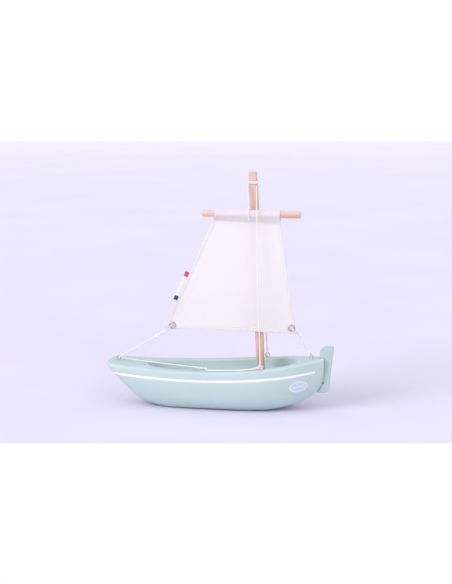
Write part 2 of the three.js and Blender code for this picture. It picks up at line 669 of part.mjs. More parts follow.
// Foredeck line to the port side, knotted to a doubled lanyard that lies on the rim
const RIM_KNOT = [-9.5, -25.4, 43.9];
const FOREDECK_LINE = [[-98.6, -1.6, 45.6], [-70, -9.3, 44.8], [-35, -18.6, 44.2],
  stopShort(RIM_KNOT, [-35, -18.6, 44.2], KNOT_CLEAR)];
add('foredeck_line', cordThrough(FOREDECK_LINE, 24), 'cord');
addKnot('rim_knot', RIM_KNOT);
const rimPoint = (x, y) => [x, y, deckHeight(x) + CORD / 2 + GAP];
const LANYARD_TURN = portRing[2] - 0.6;
const lanyardLeg = (side) => [
  rimPoint(-7.2, -26.3 - side * 0.8), rimPoint(0, -26.6 - side * 0.8), rimPoint(14, -27.1 - side * 0.8),
  rimPoint(28, -27.3 - side * 1), [37, -27.6 - side * 1.35, 45.9], [41.5, -27.6 - side * 1.35, LANYARD_TURN],
  [43, -27.6 - side * 1.35, LANYARD_TURN],
];
const LANYARD = [...lanyardLeg(-1), [44.1, -26.8, LANYARD_TURN], [44.4, -27.6, LANYARD_TURN],
  [44.1, -28.4, LANYARD_TURN], ...lanyardLeg(1).reverse()];
add('rim_lanyard', cordThrough(LANYARD, 76, 0.9), 'cord');

export default boat;
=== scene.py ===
"""Looks of a wooden toy sailing boat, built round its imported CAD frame.

Shapes are worked out in millimetres, with +X towards the stern, +Y to starboard and +Z up, and each
piece is scaled to metres when its mesh is made.
"""

import math

import bmesh
import bpy
import numpy as np
from mathutils import Matrix, Vector


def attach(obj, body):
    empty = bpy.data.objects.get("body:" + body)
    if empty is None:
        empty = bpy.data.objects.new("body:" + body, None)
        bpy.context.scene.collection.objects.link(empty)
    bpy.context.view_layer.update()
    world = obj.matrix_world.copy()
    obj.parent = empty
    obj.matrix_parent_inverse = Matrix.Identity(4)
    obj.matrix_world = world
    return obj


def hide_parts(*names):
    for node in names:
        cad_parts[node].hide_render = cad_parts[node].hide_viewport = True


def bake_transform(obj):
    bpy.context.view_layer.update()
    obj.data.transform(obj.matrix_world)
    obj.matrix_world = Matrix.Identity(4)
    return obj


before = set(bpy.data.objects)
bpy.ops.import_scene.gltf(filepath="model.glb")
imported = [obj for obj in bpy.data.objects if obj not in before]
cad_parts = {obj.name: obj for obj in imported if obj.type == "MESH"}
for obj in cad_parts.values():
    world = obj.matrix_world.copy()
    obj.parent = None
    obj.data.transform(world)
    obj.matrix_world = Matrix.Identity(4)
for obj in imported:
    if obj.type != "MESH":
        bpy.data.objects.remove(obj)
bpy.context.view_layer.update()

MM = 0.001


def linked(name, data):
    """A new object in the scene for a mesh, a light or a camera."""
    made = bpy.data.objects.new(name, data)
    bpy.context.collection.objects.link(made)
    return made


def scaled_mesh(name, points, faces, scale=MM):
    mesh = bpy.data.meshes.new(name)
    mesh.from_pydata([tuple(scale * float(c) for c in point) for point in points], [], faces)
    return mesh


# ---------------------------------------------------------------- camera

CAMERA_AIM = Vector((6.3, 0, 115.9)) * MM
CAMERA_DISTANCE = 1479.5 * MM
CAMERA_AZIMUTH = math.radians(9.0)
CAMERA_PITCH = math.radians(10.96)
CAMERA_LENS = 92.5


def add_camera():
    data = bpy.data.cameras.new("camera")
    data.lens = CAMERA_LENS
    data.sensor_width = 36.0
    data.clip_end = 50.0
    camera = linked("camera", data)
    back = Vector((
        math.sin(CAMERA_AZIMUTH) * math.cos(CAMERA_PITCH),
        -math.cos(CAMERA_AZIMUTH) * math.cos(CAMERA_PITCH),
        math.sin(CAMERA_PITCH),
    ))
    camera.location = CAMERA_AIM + back * CAMERA_DISTANCE
    camera.rotation_euler = (-back).to_track_quat("-Z", "Y").to_euler()
    bpy.context.scene.camera = camera


add_camera()


# ---------------------------------------------------------------- colours and shader nodes


def linear(red, green, blue):
    """Linear colour from 0 to 255 display values."""
    channels = []
    for value in (red, green, blue):
        share = value / 255
        channels.append(share / 12.92 if share <= 0.04045 else ((share + 0.055) / 1.055) ** 2.4)
    return (*channels, 1.0)


class Shader:
    """A material and short ways to add nodes to it."""

    def __init__(self, name):
        self.material = bpy.data.materials.new(name)
        self.material.use_nodes = True
        self.tree = self.material.node_tree
        self.base = self.tree.nodes["Principled BSDF"]
        self.output = self.tree.nodes["Material Output"]

    def node(self, kind, **settings):
        made = self.tree.nodes.new(kind)
        for key, value in settings.items():
            if key.startswith("in_"):
                made.inputs[key[3:].replace("_", " ")].default_value = value
            else:
                setattr(made, key, value)
        return made

    def link(self, source, target):
        self.tree.links.new(source, target)

    def place(self, stretch=(1, 1, 1), turn=(0, 0, 0)):
        """Object coordinates, stretched and turned."""
        mapping = self.node("ShaderNodeMapping")
        mapping.inputs["Scale"].default_value = stretch
        mapping.inputs["Rotation"].default_value = turn
        self.link(self.node("ShaderNodeTexCoord").outputs["Object"], mapping.inputs["Vector"])
        return mapping.outputs["Vector"]

    def noise(self, where, scale, detail=2.0, roughness=0.5):
        made = self.node("ShaderNodeTexNoise", in_Scale=scale, in_Detail=detail, in_Roughness=roughness)
        self.link(where, made.inputs["Vector"])
        return made.outputs["Fac"]

    def ramp(self, fac, *stops):
        made = self.node("ShaderNodeValToRGB")
        elements = made.color_ramp.elements
        while len(elements) < len(stops):
            elements.new(0.5)
        for element, (position, colour) in zip(elements, stops):
            element.position = position
            element.color = colour
        self.link(fac, made.inputs["Fac"])
        return made.outputs["Color"]

    def bump(self, height, strength, distance, before=None):
        made = self.node("ShaderNodeBump", in_Strength=strength, in_Distance=distance)
        self.link(height, made.inputs["Height"])
        if before is not None:
            self.link(before, made.inputs["Normal"])
        return made.outputs["Normal"]

    def maths(self, operation, first, second):
        made = self.node("ShaderNodeMath", operation=operation)
        for source, target in zip((first, second), made.inputs):
            if isinstance(source, (int, float)):
                target.default_value = source
            else:
                self.link(source, target)
        return made.outputs["Value"]

    def weighed(self, first, first_share, second, second_share):
        """Two values added together in the given shares."""
        first_part = self.maths("MULTIPLY", first, first_share)
        second_part = self.maths("MULTIPLY", second, second_share)
        return self.maths("ADD", first_part, second_part)

    def finish(self, colour, roughness, normal=None, **principled):
        for source, name in ((colour, "Base Color"), (roughness, "Roughness"), (normal, "Normal")):
            if source is None:
                continue
            if isinstance(source, (int, float, tuple)):
                self.base.inputs[name].default_value = source
            else:
                self.link(source, self.base.inputs[name])
        for key, value in principled.items():
            self.base.inputs[key.replace("_", " ")].default_value = value
        return self.material


def paint(name, colour, light, roughness=0.42):
    """Satin paint on carved wood: faint grain that shows through, fine orange peel, soft colour drift."""
    shader = Shader(name)
    grain = shader.noise(shader.place((40, 400, 400)), 1.0, 4.0, 0.6)
    peel = shader.noise(shader.place(), 900.0, 2.0)
    drift = shader.noise(shader.place(), 22.0, 3.0)
    tone = shader.ramp(drift, (0.3, colour), (0.7, light))
    worn = shader.ramp(grain, (0.35, (roughness - 0.04,) * 3 + (1,)), (0.7, (roughness + 0.08,) * 3 + (1,)))
    normal = shader.bump(peel, 0.06, 0.0002)
    normal = shader.bump(grain, 0.10, 0.0003, normal)
    return shader.finish(tone, worn, normal, Specular_IOR_Level=0.4, Coat_Weight=0.12, Coat_Roughness=0.35)


def bare_wood(name, dark, middle, light, along):
    """Bare sanded timber with its grain along one axis, 0 for X and 2 for Z."""
    shader = Shader(name)
    stretch = [260, 260, 260]
    stretch[along] = 14
    fibres = shader.noise(shader.place(stretch), 1.0, 6.0, 0.65)
    broad = shader.noise(shader.place([value * 0.22 for value in stretch]), 1.0, 3.0, 0.5)
    both = shader.weighed(fibres, 0.55, broad, 0.45)
    tone = shader.ramp(both, (0.36, dark), (0.5, middle), (0.64, light))
    pores = shader.noise(shader.place([value * 5 for value in stretch]), 1.0, 2.0)
    normal = shader.bump(fibres, 0.18, 0.0002)
    normal = shader.bump(pores, 0.10, 0.0001, normal)
    return shader.finish(tone, 0.58, normal, Specular_IOR_Level=0.35)


def woven_cloth(name, colour, shade, thread=0.00045, through=0.3):
    """Plain-weave cotton: two sets of threads, a soft sheen, and a little light let through."""
    shader = Shader(name)
    waves = []
    for turn in ((0, 0, 0), (0, math.pi / 2, 0)):
        wave = shader.node("ShaderNodeTexWave", in_Scale=1 / (thread * 20), in_Distortion=0.6)
        wave.bands_direction = "X"
        shader.link(shader.place((1, 1, 1), turn), wave.inputs["Vector"])
        waves.append(wave.outputs["Fac"])
    weave = shader.maths("MULTIPLY", *waves)
    across = shader.noise(shader.place((90, 90, 900)), 1.0, 2.0)
    along = shader.noise(shader.place((900, 90, 90)), 1.0, 2.0)
    slub = shader.weighed(across, 0.5, along, 0.5)
    tone = shader.ramp(slub, (0.3, shade), (0.6, colour))
    normal = shader.bump(weave, 0.2, 0.0001)
    normal = shader.bump(slub, 0.05, 0.0001, normal)
    shader.finish(tone, 0.92, normal, Specular_IOR_Level=0.15, Sheen_Weight=0.3, Sheen_Roughness=0.5)
    translucent = shader.node("ShaderNodeBsdfTranslucent", in_Color=colour)
    blend = shader.node("ShaderNodeMixShader", in_Fac=through)
    shader.link(shader.base.outputs["BSDF"], blend.inputs[1])
    shader.link(translucent.outputs["BSDF"], blend.inputs[2])
    shader.link(blend.outputs["Shader"], shader.output.inputs["Surface"])
    return shader.material


def twisted_yarn(name, colour, shade):
    """Soft matt yarn with fine fibres."""
    shader = Shader(name)
    fuzz = shader.noise(shader.place(), 2600.0, 3.0)
    tone = shader.ramp(fuzz, (0.3, shade), (0.6, colour))
    normal = shader.bump(fuzz, 0.35, 0.0001)
    return shader.finish(tone, 0.85, normal, Specular_IOR_Level=0.2, Sheen_Weight=0.4, Sheen_Roughness=0.5)


def metal(name, colour, dull, roughness):
    """Plated or turned metal with light handling marks."""
    shader = Shader(name)
    marks = shader.noise(shader.place((300, 300, 2000)), 1.0, 4.0)
    tone = shader.ramp(marks, (0.3, dull), (0.65, colour))
    rough = shader.ramp(marks, (0.3, (roughness + 0.15,) * 3 + (1,)), (0.7, (roughness,) * 3 + (1,)))
    normal = shader.bump(marks, 0.08, 0.00005)
    return shader.finish(tone, rough, normal, Metallic=1.0)


PAINT = paint("pale_blue_paint", linear(188, 209, 208), linear(194, 215, 214))
# Same paint as the hull, made darker: painted shade for the shadow the hull's stern casts on the rudder
RUDDER_PAINT_SHADED = paint("rudder_paint_painted_shade", linear(176, 197, 197), linear(182, 203, 203))
WHITE_PAINT = paint("white_paint", linear(240, 240, 245), linear(250, 250, 253), 0.38)
MAST_WOOD = bare_wood("mast_timber", linear(190, 152, 138), linear(217, 183, 168), linear(232, 202, 188), 2)
YARD_WOOD = bare_wood("dowel_timber", linear(204, 170, 156), linear(225, 193, 181), linear(238, 211, 201), 0)
COTTON = woven_cloth("sail_cotton", linear(250, 247, 249), linear(246, 242, 246), 0.00045, 0.42)
# Same cotton as the sail, made darker and pinker: painted shade, with a painted pink glow of the wooden yard
# through the cloth
SLEEVE_COTTON_SHADED = woven_cloth("sleeve_cotton_painted_shade", linear(244, 236, 244), linear(239, 229, 238), 0.00045, 0.22)
CORD = twisted_yarn("white_cord", linear(250, 248, 250), linear(228, 222, 228))
THREAD = twisted_yarn("sewing_thread", linear(226, 224, 214), linear(208, 206, 196))
NICKEL = metal("nickel_plate", linear(198, 190, 194), linear(166, 158, 162), 0.24)
ZINC = metal("zinc_plate", linear(222, 217, 219), linear(196, 190, 194), 0.32)
BRASS = metal("satin_brass", linear(205, 172, 116), linear(170, 138, 92), 0.35)
STEEL = metal("turned_steel", linear(140, 140, 144), linear(108, 108, 112), 0.45)
RIBBON = woven_cloth("white_ribbon", linear(240, 240, 246), linear(228, 228, 238), 0.0003, 0.1)
RED_PRINT = woven_cloth("red_print", linear(222, 84, 104), linear(208, 72, 94), 0.0003, 0.05)
NAVY_PRINT = woven_cloth("navy_print", linear(74, 68, 110), linear(62, 56, 98), 0.0003, 0.05)
EMBLEM_GROUND = paint("emblem_ground", linear(212, 222, 234), linear(218, 228, 240), 0.35)
EMBLEM_WAVE = paint("emblem_wave", linear(172, 184, 216), linear(178, 190, 222), 0.35)


# ---------------------------------------------------------------- meshes


def add_piece(name, vertices, faces, material, smooth_angle=40):
    """A mesh piece from points in millimetres."""
    mesh = scaled_mesh(name, vertices, faces)
    mesh.validate()
    shape = bmesh.new()
    shape.from_mesh(mesh)
    bmesh.ops.remove_doubles(shape, verts=shape.verts, dist=1e-7)
    bmesh.ops.recalc_face_normals(shape, faces=shape.faces)
    shape.to_mesh(mesh)
    shape.free()
    mesh.materials.append(material)
    mesh.shade_smooth()
    mesh.set_sharp_from_angle(angle=math.radians(smooth_angle))
    return linked(name, mesh)


def join_parts(parts):
    """One list of points and one of faces from several (points, faces)."""
    vertices = []
    faces = []
    for points, sides in parts:
        start = len(vertices)
        vertices.extend(tuple(p) for p in points)
        faces.extend(tuple(index + start for index in side) for side in sides)
    return vertices, faces


def strips(loops, first_cap=True, last_cap=True):
    """Quads between loops of the same length, with n-gon caps."""
    count = len(loops[0])
    faces = []
    for level in range(len(loops) - 1):
        for i in range(count):
            a = level * count + i
            b = level * count + (i + 1) % count
            faces.append((a, b, b + count, a + count))
    if first_cap:
        faces.append(tuple(reversed(range(count))))
    if last_cap:
        start = (len(loops) - 1) * count
        faces.append(tuple(range(start, start + count)))
    return [tuple(p) for loop in loops for p in loop], faces


def round_angles(count):
    return np.arange(count) * 2 * math.pi / count


def smooth_line(points, spacing):
    """Centripetal Catmull-Rom line through the points, sampled at about the given spacing."""
    pts = np.array(points, float)
    pts = np.vstack([2 * pts[0] - pts[1], pts, 2 * pts[-1] - pts[-2]])
    out = [pts[1]]
    for k in range(1, len(pts) - 2):
        p0, p1, p2, p3 = pts[k - 1], pts[k], pts[k + 1], pts[k + 2]
        d0, d1, d2 = (max(np.linalg.norm(b - a), 1e-6) ** 0.5 for a, b in ((p0, p1), (p1, p2), (p2, p3)))
        m1 = d1 * ((p1 - p0) / d0 - (p2 - p0) / (d0 + d1) + (p2 - p1) / d1)
        m2 = d1 * ((p2 - p1) / d1 - (p3 - p1) / (d1 + d2) + (p3 - p2) / d2)
        steps = max(2, int(np.linalg.norm(p2 - p1) / spacing))
        for t in np.arange(1, steps + 1) / steps:
            value = p1 + m1 * t + (3 * (p2 - p1) - 2 * m1 - m2) * t**2 + (2 * (p1 - p2) + m1 + m2) * t**3
            out.append(value)
    return np.array(out)


def frames_along(path, closed=False):
    """Tangent and two normals at each point, turned as little as possible from one to the next."""
    if closed:
        tangents = np.roll(path, -1, axis=0) - np.roll(path, 1, axis=0)
    else:
        tangents = np.gradient(path, axis=0)
    tangents /= np.linalg.norm(tangents, axis=1)[:, None]
    normal = np.cross(tangents[0], (0.3, 0.5, 0.8))
    normals = []
    for tangent in tangents:
        normal = normal - tangent * normal.dot(tangent)
        normal = normal / np.linalg.norm(normal)
        normals.append(normal)
    normals = np.array(normals)
    return tangents, normals, np.cross(tangents, normals)


def tube(path, radius, sides=10, closed=False):
    """Round wire along a path. radius is one number or one for each point."""
    path = np.array(path, float)
    radii = np.full(len(path), radius) if np.isscalar(radius) else np.array(radius)
    _, side, up = frames_along(path, closed)
    angles = round_angles(sides)
    ring = np.cos(angles)[None, :, None] * side[:, None] + np.sin(angles)[None, :, None] * up[:, None]
    loops = path[:, None] + ring * radii[:, None, None]
    if not closed:
        return strips(list(loops))
    # The last ring meets the first one turned by a whole number of sides
    gap = [np.linalg.norm(loops[-1] - np.roll(loops[0], -k, axis=0), axis=1).sum() for k in range(sides)]
    turn = int(np.argmin(gap))
    points, faces = strips(list(loops), False, False)
    last = (len(loops) - 1) * sides
    for i in range(sides):
        a, b = last + i, last + (i + 1) % sides
        faces.append((a, b, (i + 1 + turn) % sides, (i + turn) % sides))
    return points, faces


STRANDS = 3
CORD_LAY = 3.4  # length of one full turn of the strands
CORD_SIDES = 15


def laid_cord(path, diameter):
    """Three-strand cord along a path: lobed rings that turn as they go."""
    path = np.array(path, float)
    _, side, up = frames_along(path)
    steps = np.linalg.norm(np.diff(path, axis=0), axis=1)
    travelled = np.concatenate([[0], np.cumsum(steps)])
    angles = round_angles(CORD_SIDES)
    lobes = diameter / 2 * (0.80 + 0.22 * np.abs(np.cos(STRANDS / 2 * angles)))
    turned = angles[None] + travelled[:, None] * 2 * math.pi / CORD_LAY
    ring = np.cos(turned)[..., None] * side[:, None] + np.sin(turned)[..., None] * up[:, None]
    loops = path[:, None] + ring * lobes[None, :, None]
    return strips(list(loops))


def trefoil(centre, size, strand, turn=0.0):
    """A pulled-tight overhand knot: a small trefoil of cord."""
    t = np.linspace(0, 2 * math.pi, 73)[:-1]
    across = np.sin(t) + 2 * np.sin(2 * t)
    up = np.cos(t) - 2 * np.cos(2 * t)
    loop = np.stack([across, -1.3 * np.sin(3 * t), up], axis=1)
    rotate = Matrix.Rotation(turn, 3, "Y")
    loop = np.array([rotate @ Vector(p) for p in loop]) * (size - strand) / 3
    return tube(loop + np.array(centre), strand, 8, closed=True)


def place(piece, body, slot, *replaced):
    """Puts a piece on its body and hides the CAD nodes that it stands for. Its slot argument is not used."""
    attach(piece, body)
    if replaced:
        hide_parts(*replaced)
    return piece


def add_part(node, shape, material, slot, smooth_angle=40, body="hull"):
    """The piece that stands for one rigid CAD node. shape is its points and its faces."""
    return place(add_piece(f"{node}_body", *shape, material, smooth_angle), body, slot, node)


def add_tied(node, parts, smooth_angle=70, body="hull"):
    """Cord tied in place, as one piece joined from several (points, faces)."""
    place(add_piece(f"{node}_cord", *join_parts(parts), CORD, smooth_angle), body, "cord", node)


# ---------------------------------------------------------------- the hull's form

# The deck's half-breadth is a smooth line through these stations (x, half-breadth)
DECK_STATIONS = (
    (-98, 22.2), (-60, 27), (-20, 32), (20, 34.1), (50, 31), (75, 23.4), (92, 13.8), (104.4, 6.4),
)
BOW_TIP = -113.6
BOW_ROUNDING_STARTS = -98
STERN_END = 104.4
GUNWALE_RADIUS = 2.2
FLAT_ENDS = 45
FLAT_HALF_WIDTH = 10
SECTION_POWER = 2.3


def deck_height(x):
    return 41.6 + 0.0475 * x + 0.0006 * x * x


def rail_height(x):
    return deck_height(x) - GUNWALE_RADIUS


def mix(a, b, share):
    return a + (b - a) * share


def clamp01(value):
    return min(1.0, max(0.0, value))


def ease(value):
    return clamp01(value) ** 2 * (3 - 2 * clamp01(value))


def through(stations, x):
    """Smooth curve through stations (x, value), straight beyond its ends."""
    last = len(stations) - 1

    def slope_at(k):
        a, b = max(0, k - 1), min(last, k + 1)
        return (stations[b][1] - stations[a][1]) / (stations[b][0] - stations[a][0])

    if x <= stations[0][0]:
        return stations[0][1] + slope_at(0) * (x - stations[0][0])
    if x >= stations[last][0]:
        return stations[last][1] + slope_at(last) * (x - stations[last][0])
    k = 0
    while x > stations[k + 1][0]:
        k += 1
    span = stations[k + 1][0] - stations[k][0]
    t = (x - stations[k][0]) / span
    m0, m1 = slope_at(k) * span, slope_at(k + 1) * span
    rise = stations[k + 1][1] - stations[k][1]
    return stations[k][1] + m0 * t + (3 * rise - 2 * m0 - m1) * t**2 + (m0 + m1 - 2 * rise) * t**3


def deck_half(x):
    into_bow = clamp01((BOW_ROUNDING_STARTS - x) / (BOW_ROUNDING_STARTS - BOW_TIP))
    return through(DECK_STATIONS, x) * (1 - into_bow**3) ** (1 / 3)


def bottom_half(x):
    fore = min(36, max(0, -FLAT_ENDS - x)) * 0.11
    aft = max(0, x - 20) * 0.14
    return max(1.2, min(FLAT_HALF_WIDTH - fore - aft, 0.7 * deck_half(x)))


def keel_height(x):
    """Height of the bottom on the centreline: raked bow, long flat, rounded stern."""
    if x > FLAT_ENDS:
        along = clamp01((x - FLAT_ENDS) / (STERN_END - FLAT_ENDS))
        return 43 * (1 - (1 - along**1.5) ** (1 / 3))
    beyond_flat = max(0, -FLAT_ENDS - x)
    beyond_foot = -81 - x
    bottom = 0.0052 * beyond_flat**2
    rake = 8 + 0.9 * beyond_foot + 0.0043 * max(0, beyond_foot) ** 2
    return max(0, (bottom + rake + math.hypot(bottom - rake, 1.2)) / 2) if beyond_flat else 0


def half_breadth(x, level):
    keel_level = min(0.999, keel_height(x) / rail_height(x))
    depth = clamp01((1 - level) / (1 - keel_level))
    return mix(bottom_half(x), deck_half(x), (1 - depth**SECTION_POWER) ** (1 / SECTION_POWER))


def profile_end(level_at, end):
    """Where the centreline profile crosses a level line, looking from the middle towards one end."""
    inside = math.copysign(FLAT_ENDS, end)
    outside = end
    if keel_height(outside) <= level_at(outside) * rail_height(outside):
        return outside
    for _ in range(40):
        middle = (inside + outside) / 2
        if keel_height(middle) <= level_at(middle) * rail_height(middle):
            inside = middle
        else:
            outside = middle
    return inside


def spread(points, count, turn_weight):
    """Points along a line in plan, spread by distance and by how much it turns."""
    points = np.array(points, float)
    steps = np.diff(points, axis=0)
    lengths = np.hypot(steps[:, 0], steps[:, 1])
    keep = np.concatenate([[True], lengths > 1e-7])
    points = points[keep]
    steps = np.diff(points, axis=0)
    lengths = np.hypot(steps[:, 0], steps[:, 1])
    heading = np.unwrap(np.arctan2(steps[:, 1], steps[:, 0]))
    turns = np.abs(np.diff(heading, prepend=heading[0]))
    travelled = np.concatenate([[0], np.cumsum(lengths + turn_weight * turns)])
    wanted = np.linspace(0, travelled[-1], count)
    return np.stack([np.interp(wanted, travelled, points[:, k]) for k in (0, 1)], axis=1)


def both_sides(half):
    """Closed loop from the bow down the starboard side and back along the port side."""
    half = np.array(half)
    half[0, 1] = 0
    half[-1, 1] = 0
    other = half[1:-1][::-1] * (1, -1)
    return np.vstack([half, other])


HULL_POINTS = 300


def level_line(level_at, count=HULL_POINTS):
    bow = profile_end(level_at, BOW_TIP)
    stern = profile_end(level_at, STERN_END)
    line = [(bow, 0)]
    for i in range(401):
        x = mix(bow, stern, (1 - math.cos(math.pi * i / 400)) / 2)
        line.append((x, half_breadth(x, level_at(x))))
    line.append((stern, 0))
    return both_sides(spread(line, count // 2 + 1, 12))


def outward(loop):
    """Unit normals of a closed outline, to the left of the way it runs."""
    along = np.roll(loop, -1, axis=0) - np.roll(loop, 1, axis=0)
    normal = np.stack([-along[:, 1], along[:, 0]], axis=1)
    return normal / np.linalg.norm(normal, axis=1)[:, None]


# ---------------------------------------------------------------- cords

CORD_DIAMETER = 1.2
THIN_CORD_DIAMETER = 0.95
CORD_STEP = 0.45
EYE_HEIGHT = 2.7
HITCH_RADIUS = 1.9
HITCH_OFFSET = 0.55
HITCH_KNOT = HITCH_OFFSET + 2 * HITCH_RADIUS + 0.8
KNOT_RADIUS = 1.5


def ring_centre(x, y):
    return np.array((x, y, deck_height(x) + EYE_HEIGHT))


BOW_RING = ring_centre(-102.9, 0)
STERN_RING = ring_centre(91.1, 0)
PORT_RING = ring_centre(44.4, -27.6)
STARBOARD_RING = ring_centre(44.4, 27.6)
RING_FACING = {"bow": (0.12, 1, 0), "stern": (0.3, 1, 0), "port": (0, 1, 0), "starboard": (0, 1, 0)}

TACK_EYELET = (-46.4, 82.1)
CLEW_EYELET = (72.2, 83.1)
TACK_KNOT = np.array((-62.8, -4.6, 70.2))
CLEW_KNOT = np.array((80.9, -5, 76.2))
RIM_KNOT = np.array((-9.5, -25.4, 43.9))


def toward(start, end):
    step = np.array(end, float) - np.array(start, float)
    return step / np.linalg.norm(step)


def line_end(centre, towards):
    """Where a line that runs to a hitch meets the hitch's knot."""
    return centre + toward(centre, towards) * (HITCH_KNOT + KNOT_RADIUS - 0.5)


def rim_point(x, y):
    return (x, y, deck_height(x) + CORD_DIAMETER / 2 + 0.3)


# The last bend of each of these lines, before it runs straight to its hitch or knot
PORT_ABOVE = (42.2, -24, 95)
STARBOARD_ABOVE = (42, 21, 95)
BEFORE_RIM_KNOT = (-35, -18.6, 44.2)

PORT_SHROUD = [
    (37.2, -6.3, 222), (37.6, -8.6, 216), (38.4, -13, 206), (38.8, -16.3, 197), (39.1, -17.2, 189),
    (40.5, -20.4, 145), PORT_ABOVE, line_end(PORT_RING, PORT_ABOVE),
]
STARBOARD_SHROUD = [
    (36.8, 6.2, 222), (37.4, 8.2, 205), (39.6, 14, 150), STARBOARD_ABOVE,
    line_end(STARBOARD_RING, STARBOARD_ABOVE),
]
FOREDECK_LINE = [
    (-98.6, -1.6, 45.6), (-70, -9.3, 44.8), BEFORE_RIM_KNOT, RIM_KNOT + toward(RIM_KNOT, BEFORE_RIM_KNOT),
]
TACK_LINE = [TACK_KNOT + toward(TACK_KNOT, BOW_RING), line_end(BOW_RING, TACK_KNOT)]
SHEET_LINE = [CLEW_KNOT + toward(CLEW_KNOT, STERN_RING), line_end(STERN_RING, CLEW_KNOT)]
SHEET_TAIL = [(79.9, -5, 74.6), (79.3, -5.1, 71), (79.6, -5.2, 67), (79.2, -5.1, 61.8)]
YARD_SLING = [(28.6, -5.2, 223.6), (28.8, -6.2, 217), (29.7, -7.8, 209), (30.4, -9.9, 201.4)]

LANYARD_TURN = PORT_RING[2] - 0.6


def lanyard_leg(side):
    """One leg of the doubled lanyard, from the rim knot along the rim and up to the port eye."""
    on_rim = ((-8.9, -25.9, 0.35), (-6, -26.3, 0.8), (0, -26.6, 0.8), (14, -27.1, 0.8), (28, -27.3, 1))
    up_to_eye = ((37, 45.9), (41.5, LANYARD_TURN), (43, LANYARD_TURN))
    leg = [rim_point(x, y - side * apart) for x, y, apart in on_rim]
    return leg + [(x, -27.6 - side * 1.35, z) for x, z in up_to_eye]


RIM_LANYARD = [
    *lanyard_leg(-1), (44.1, -26.8, LANYARD_TURN), (44.4, -27.6, LANYARD_TURN), (44.1, -28.4, LANYARD_TURN),
    *reversed(lanyard_leg(1)),
]


def cord_piece(node, route, diameter=CORD_DIAMETER):
    """A laid cord along a smooth route, and the path that it follows."""
    path = smooth_line(route, CORD_STEP)
    return add_piece(f"cord_{node}", *laid_cord(path, diameter), CORD, 60), path


def add_cord(node, route, diameter=CORD_DIAMETER):
    piece, path = cord_piece(node, route, diameter)
    place(piece, "hull", "cord", node)


add_cord("port_shroud", PORT_SHROUD)
add_cord("starboard_shroud", STARBOARD_SHROUD)
add_cord("foredeck_line", FOREDECK_LINE)
add_cord("rim_lanyard", RIM_LANYARD, THIN_CORD_DIAMETER)
add_cord("tack_line", TACK_LINE)
add_cord("sheet_line", SHEET_LINE)
add_cord("sheet_tail", SHEET_TAIL)


# ---------------------------------------------------------------- hull

COCKPIT_MIDDLE = 14
COCKPIT_FORE = 86.2
COCKPIT_AFT = 63.6
COCKPIT_HALF_WIDTH = 24.1
COCKPIT_FLOOR = 17
RIM_RADIUS = 1.6
WALL_STEPS = 36
WALL_DRAFT = 2.4  # how far the wall leans in from the rim to the floor's curve
FLOOR_RADIUS = 6
FLOOR_INSET = 7
TOOL_RIDGE = 0.09  # faint rings that the cutter leaves round the cockpit's wall
TOOL_PASSES = 6
BALLAST_X = -8
BALLAST_RADIUS = 8
STRIPE_DEPTH = 0.35
STRIPE_END = 97.0
STRIPE_POINTS = 600
SLOT_HALF = 3.2
SLOT_FLARE = 7.9
RUDDER_AXIS = 102.4
EDGE_ANGLE = math.radians(38)  # sharper edges than this stay crisp after a cut


def stripe_height(x):
    """Middle of the painted groove, which drops further below the deck towards the stern."""
    return deck_height(x) - 8.6 - 0.00022 * max(0, x + 10) ** 2


def stripe_level(offset):
    return lambda x: (stripe_height(x) + offset) / rail_height(x)


def skin_loop(level_at, inward=lambda x: 0):
    """One level line of the skin in three dimensions, pushed inwards where a groove runs."""
    loop = level_line(level_at)
    heights = [level_at(x) * rail_height(x) for x in loop[:, 0]]
    push = np.array([inward(x) for x in loop[:, 0]])
    return np.column_stack([loop - outward(loop) * push[:, None], heights])


def cockpit_outline(inset):
    """Rounded oval of the cockpit, fuller at its after end."""
    half = []
    for i in range(241):
        angle = math.pi * (1 - i / 240)
        c, s = math.cos(angle), math.sin(angle)
        power = 2.2 if c < 0 else 2.6
        reach = (COCKPIT_FORE if c < 0 else COCKPIT_AFT) - inset
        x = COCKPIT_MIDDLE + math.copysign(reach * abs(c) ** (2 / power), c)
        half.append((x, (COCKPIT_HALF_WIDTH - inset) * abs(s) ** (2 / power)))
    return both_sides(spread(half, HULL_POINTS // 2 + 1, 8))


def with_height(loop, height_at):
    return np.column_stack([loop, [height_at(x) for x in loop[:, 0]]])


# Shares of the rail's height, from the flat bottom up
LEVELS_BELOW_STRIPE = (
    0, 0.006, 0.015, 0.03, 0.05, 0.075, 0.105, 0.14, 0.18, 0.225, 0.275, 0.33, 0.39, 0.45, 0.51, 0.57,
    0.63, 0.69, 0.74,
)
LEVELS_ABOVE_STRIPE = (0.9, 0.925, 0.95, 0.975)

# Offsets from the stripe's middle, each with its share of the groove's depth
GROOVE_STEPS = (
    (-1.75, 0), (-1.5, 0.1), (-1.25, 0.75), (-1.0, 1), (0, 1.1),
    (1.0, 1), (1.25, 0.75), (1.5, 0.1), (1.75, 0),
)


def groove(share):
    return lambda x: STRIPE_DEPTH * share * (1 - ease((x - STRIPE_END + 1.2) / 1.6))


def skin_loops():
    """The outside of the hull, from its flat bottom up to just below the rail."""
    below = [skin_loop(lambda x: level) for level in LEVELS_BELOW_STRIPE]
    stripe = [skin_loop(stripe_level(offset), groove(share)) for offset, share in GROOVE_STEPS]
    above = [skin_loop(lambda x: level) for level in LEVELS_ABOVE_STRIPE]
    return [*below, *stripe, *above]


def deck_loops():
    """The rounded gunwale, then the deck in to the cockpit's rim."""
    loops = []
    rail = level_line(lambda x: 1.0)
    normal = outward(rail)
    for step in range(10):
        turn = math.pi / 2 * step / 9
        inner = rail - normal * GUNWALE_RADIUS * (1 - math.cos(turn))
        loops.append(with_height(inner, lambda x: deck_height(x) - GUNWALE_RADIUS * (1 - math.sin(turn))))
    edge = loops[-1][:, :2]
    rim = cockpit_outline(-RIM_RADIUS)
    for step in range(1, 9):
        loops.append(with_height(mix(edge, rim, step / 8), deck_height))
    return loops


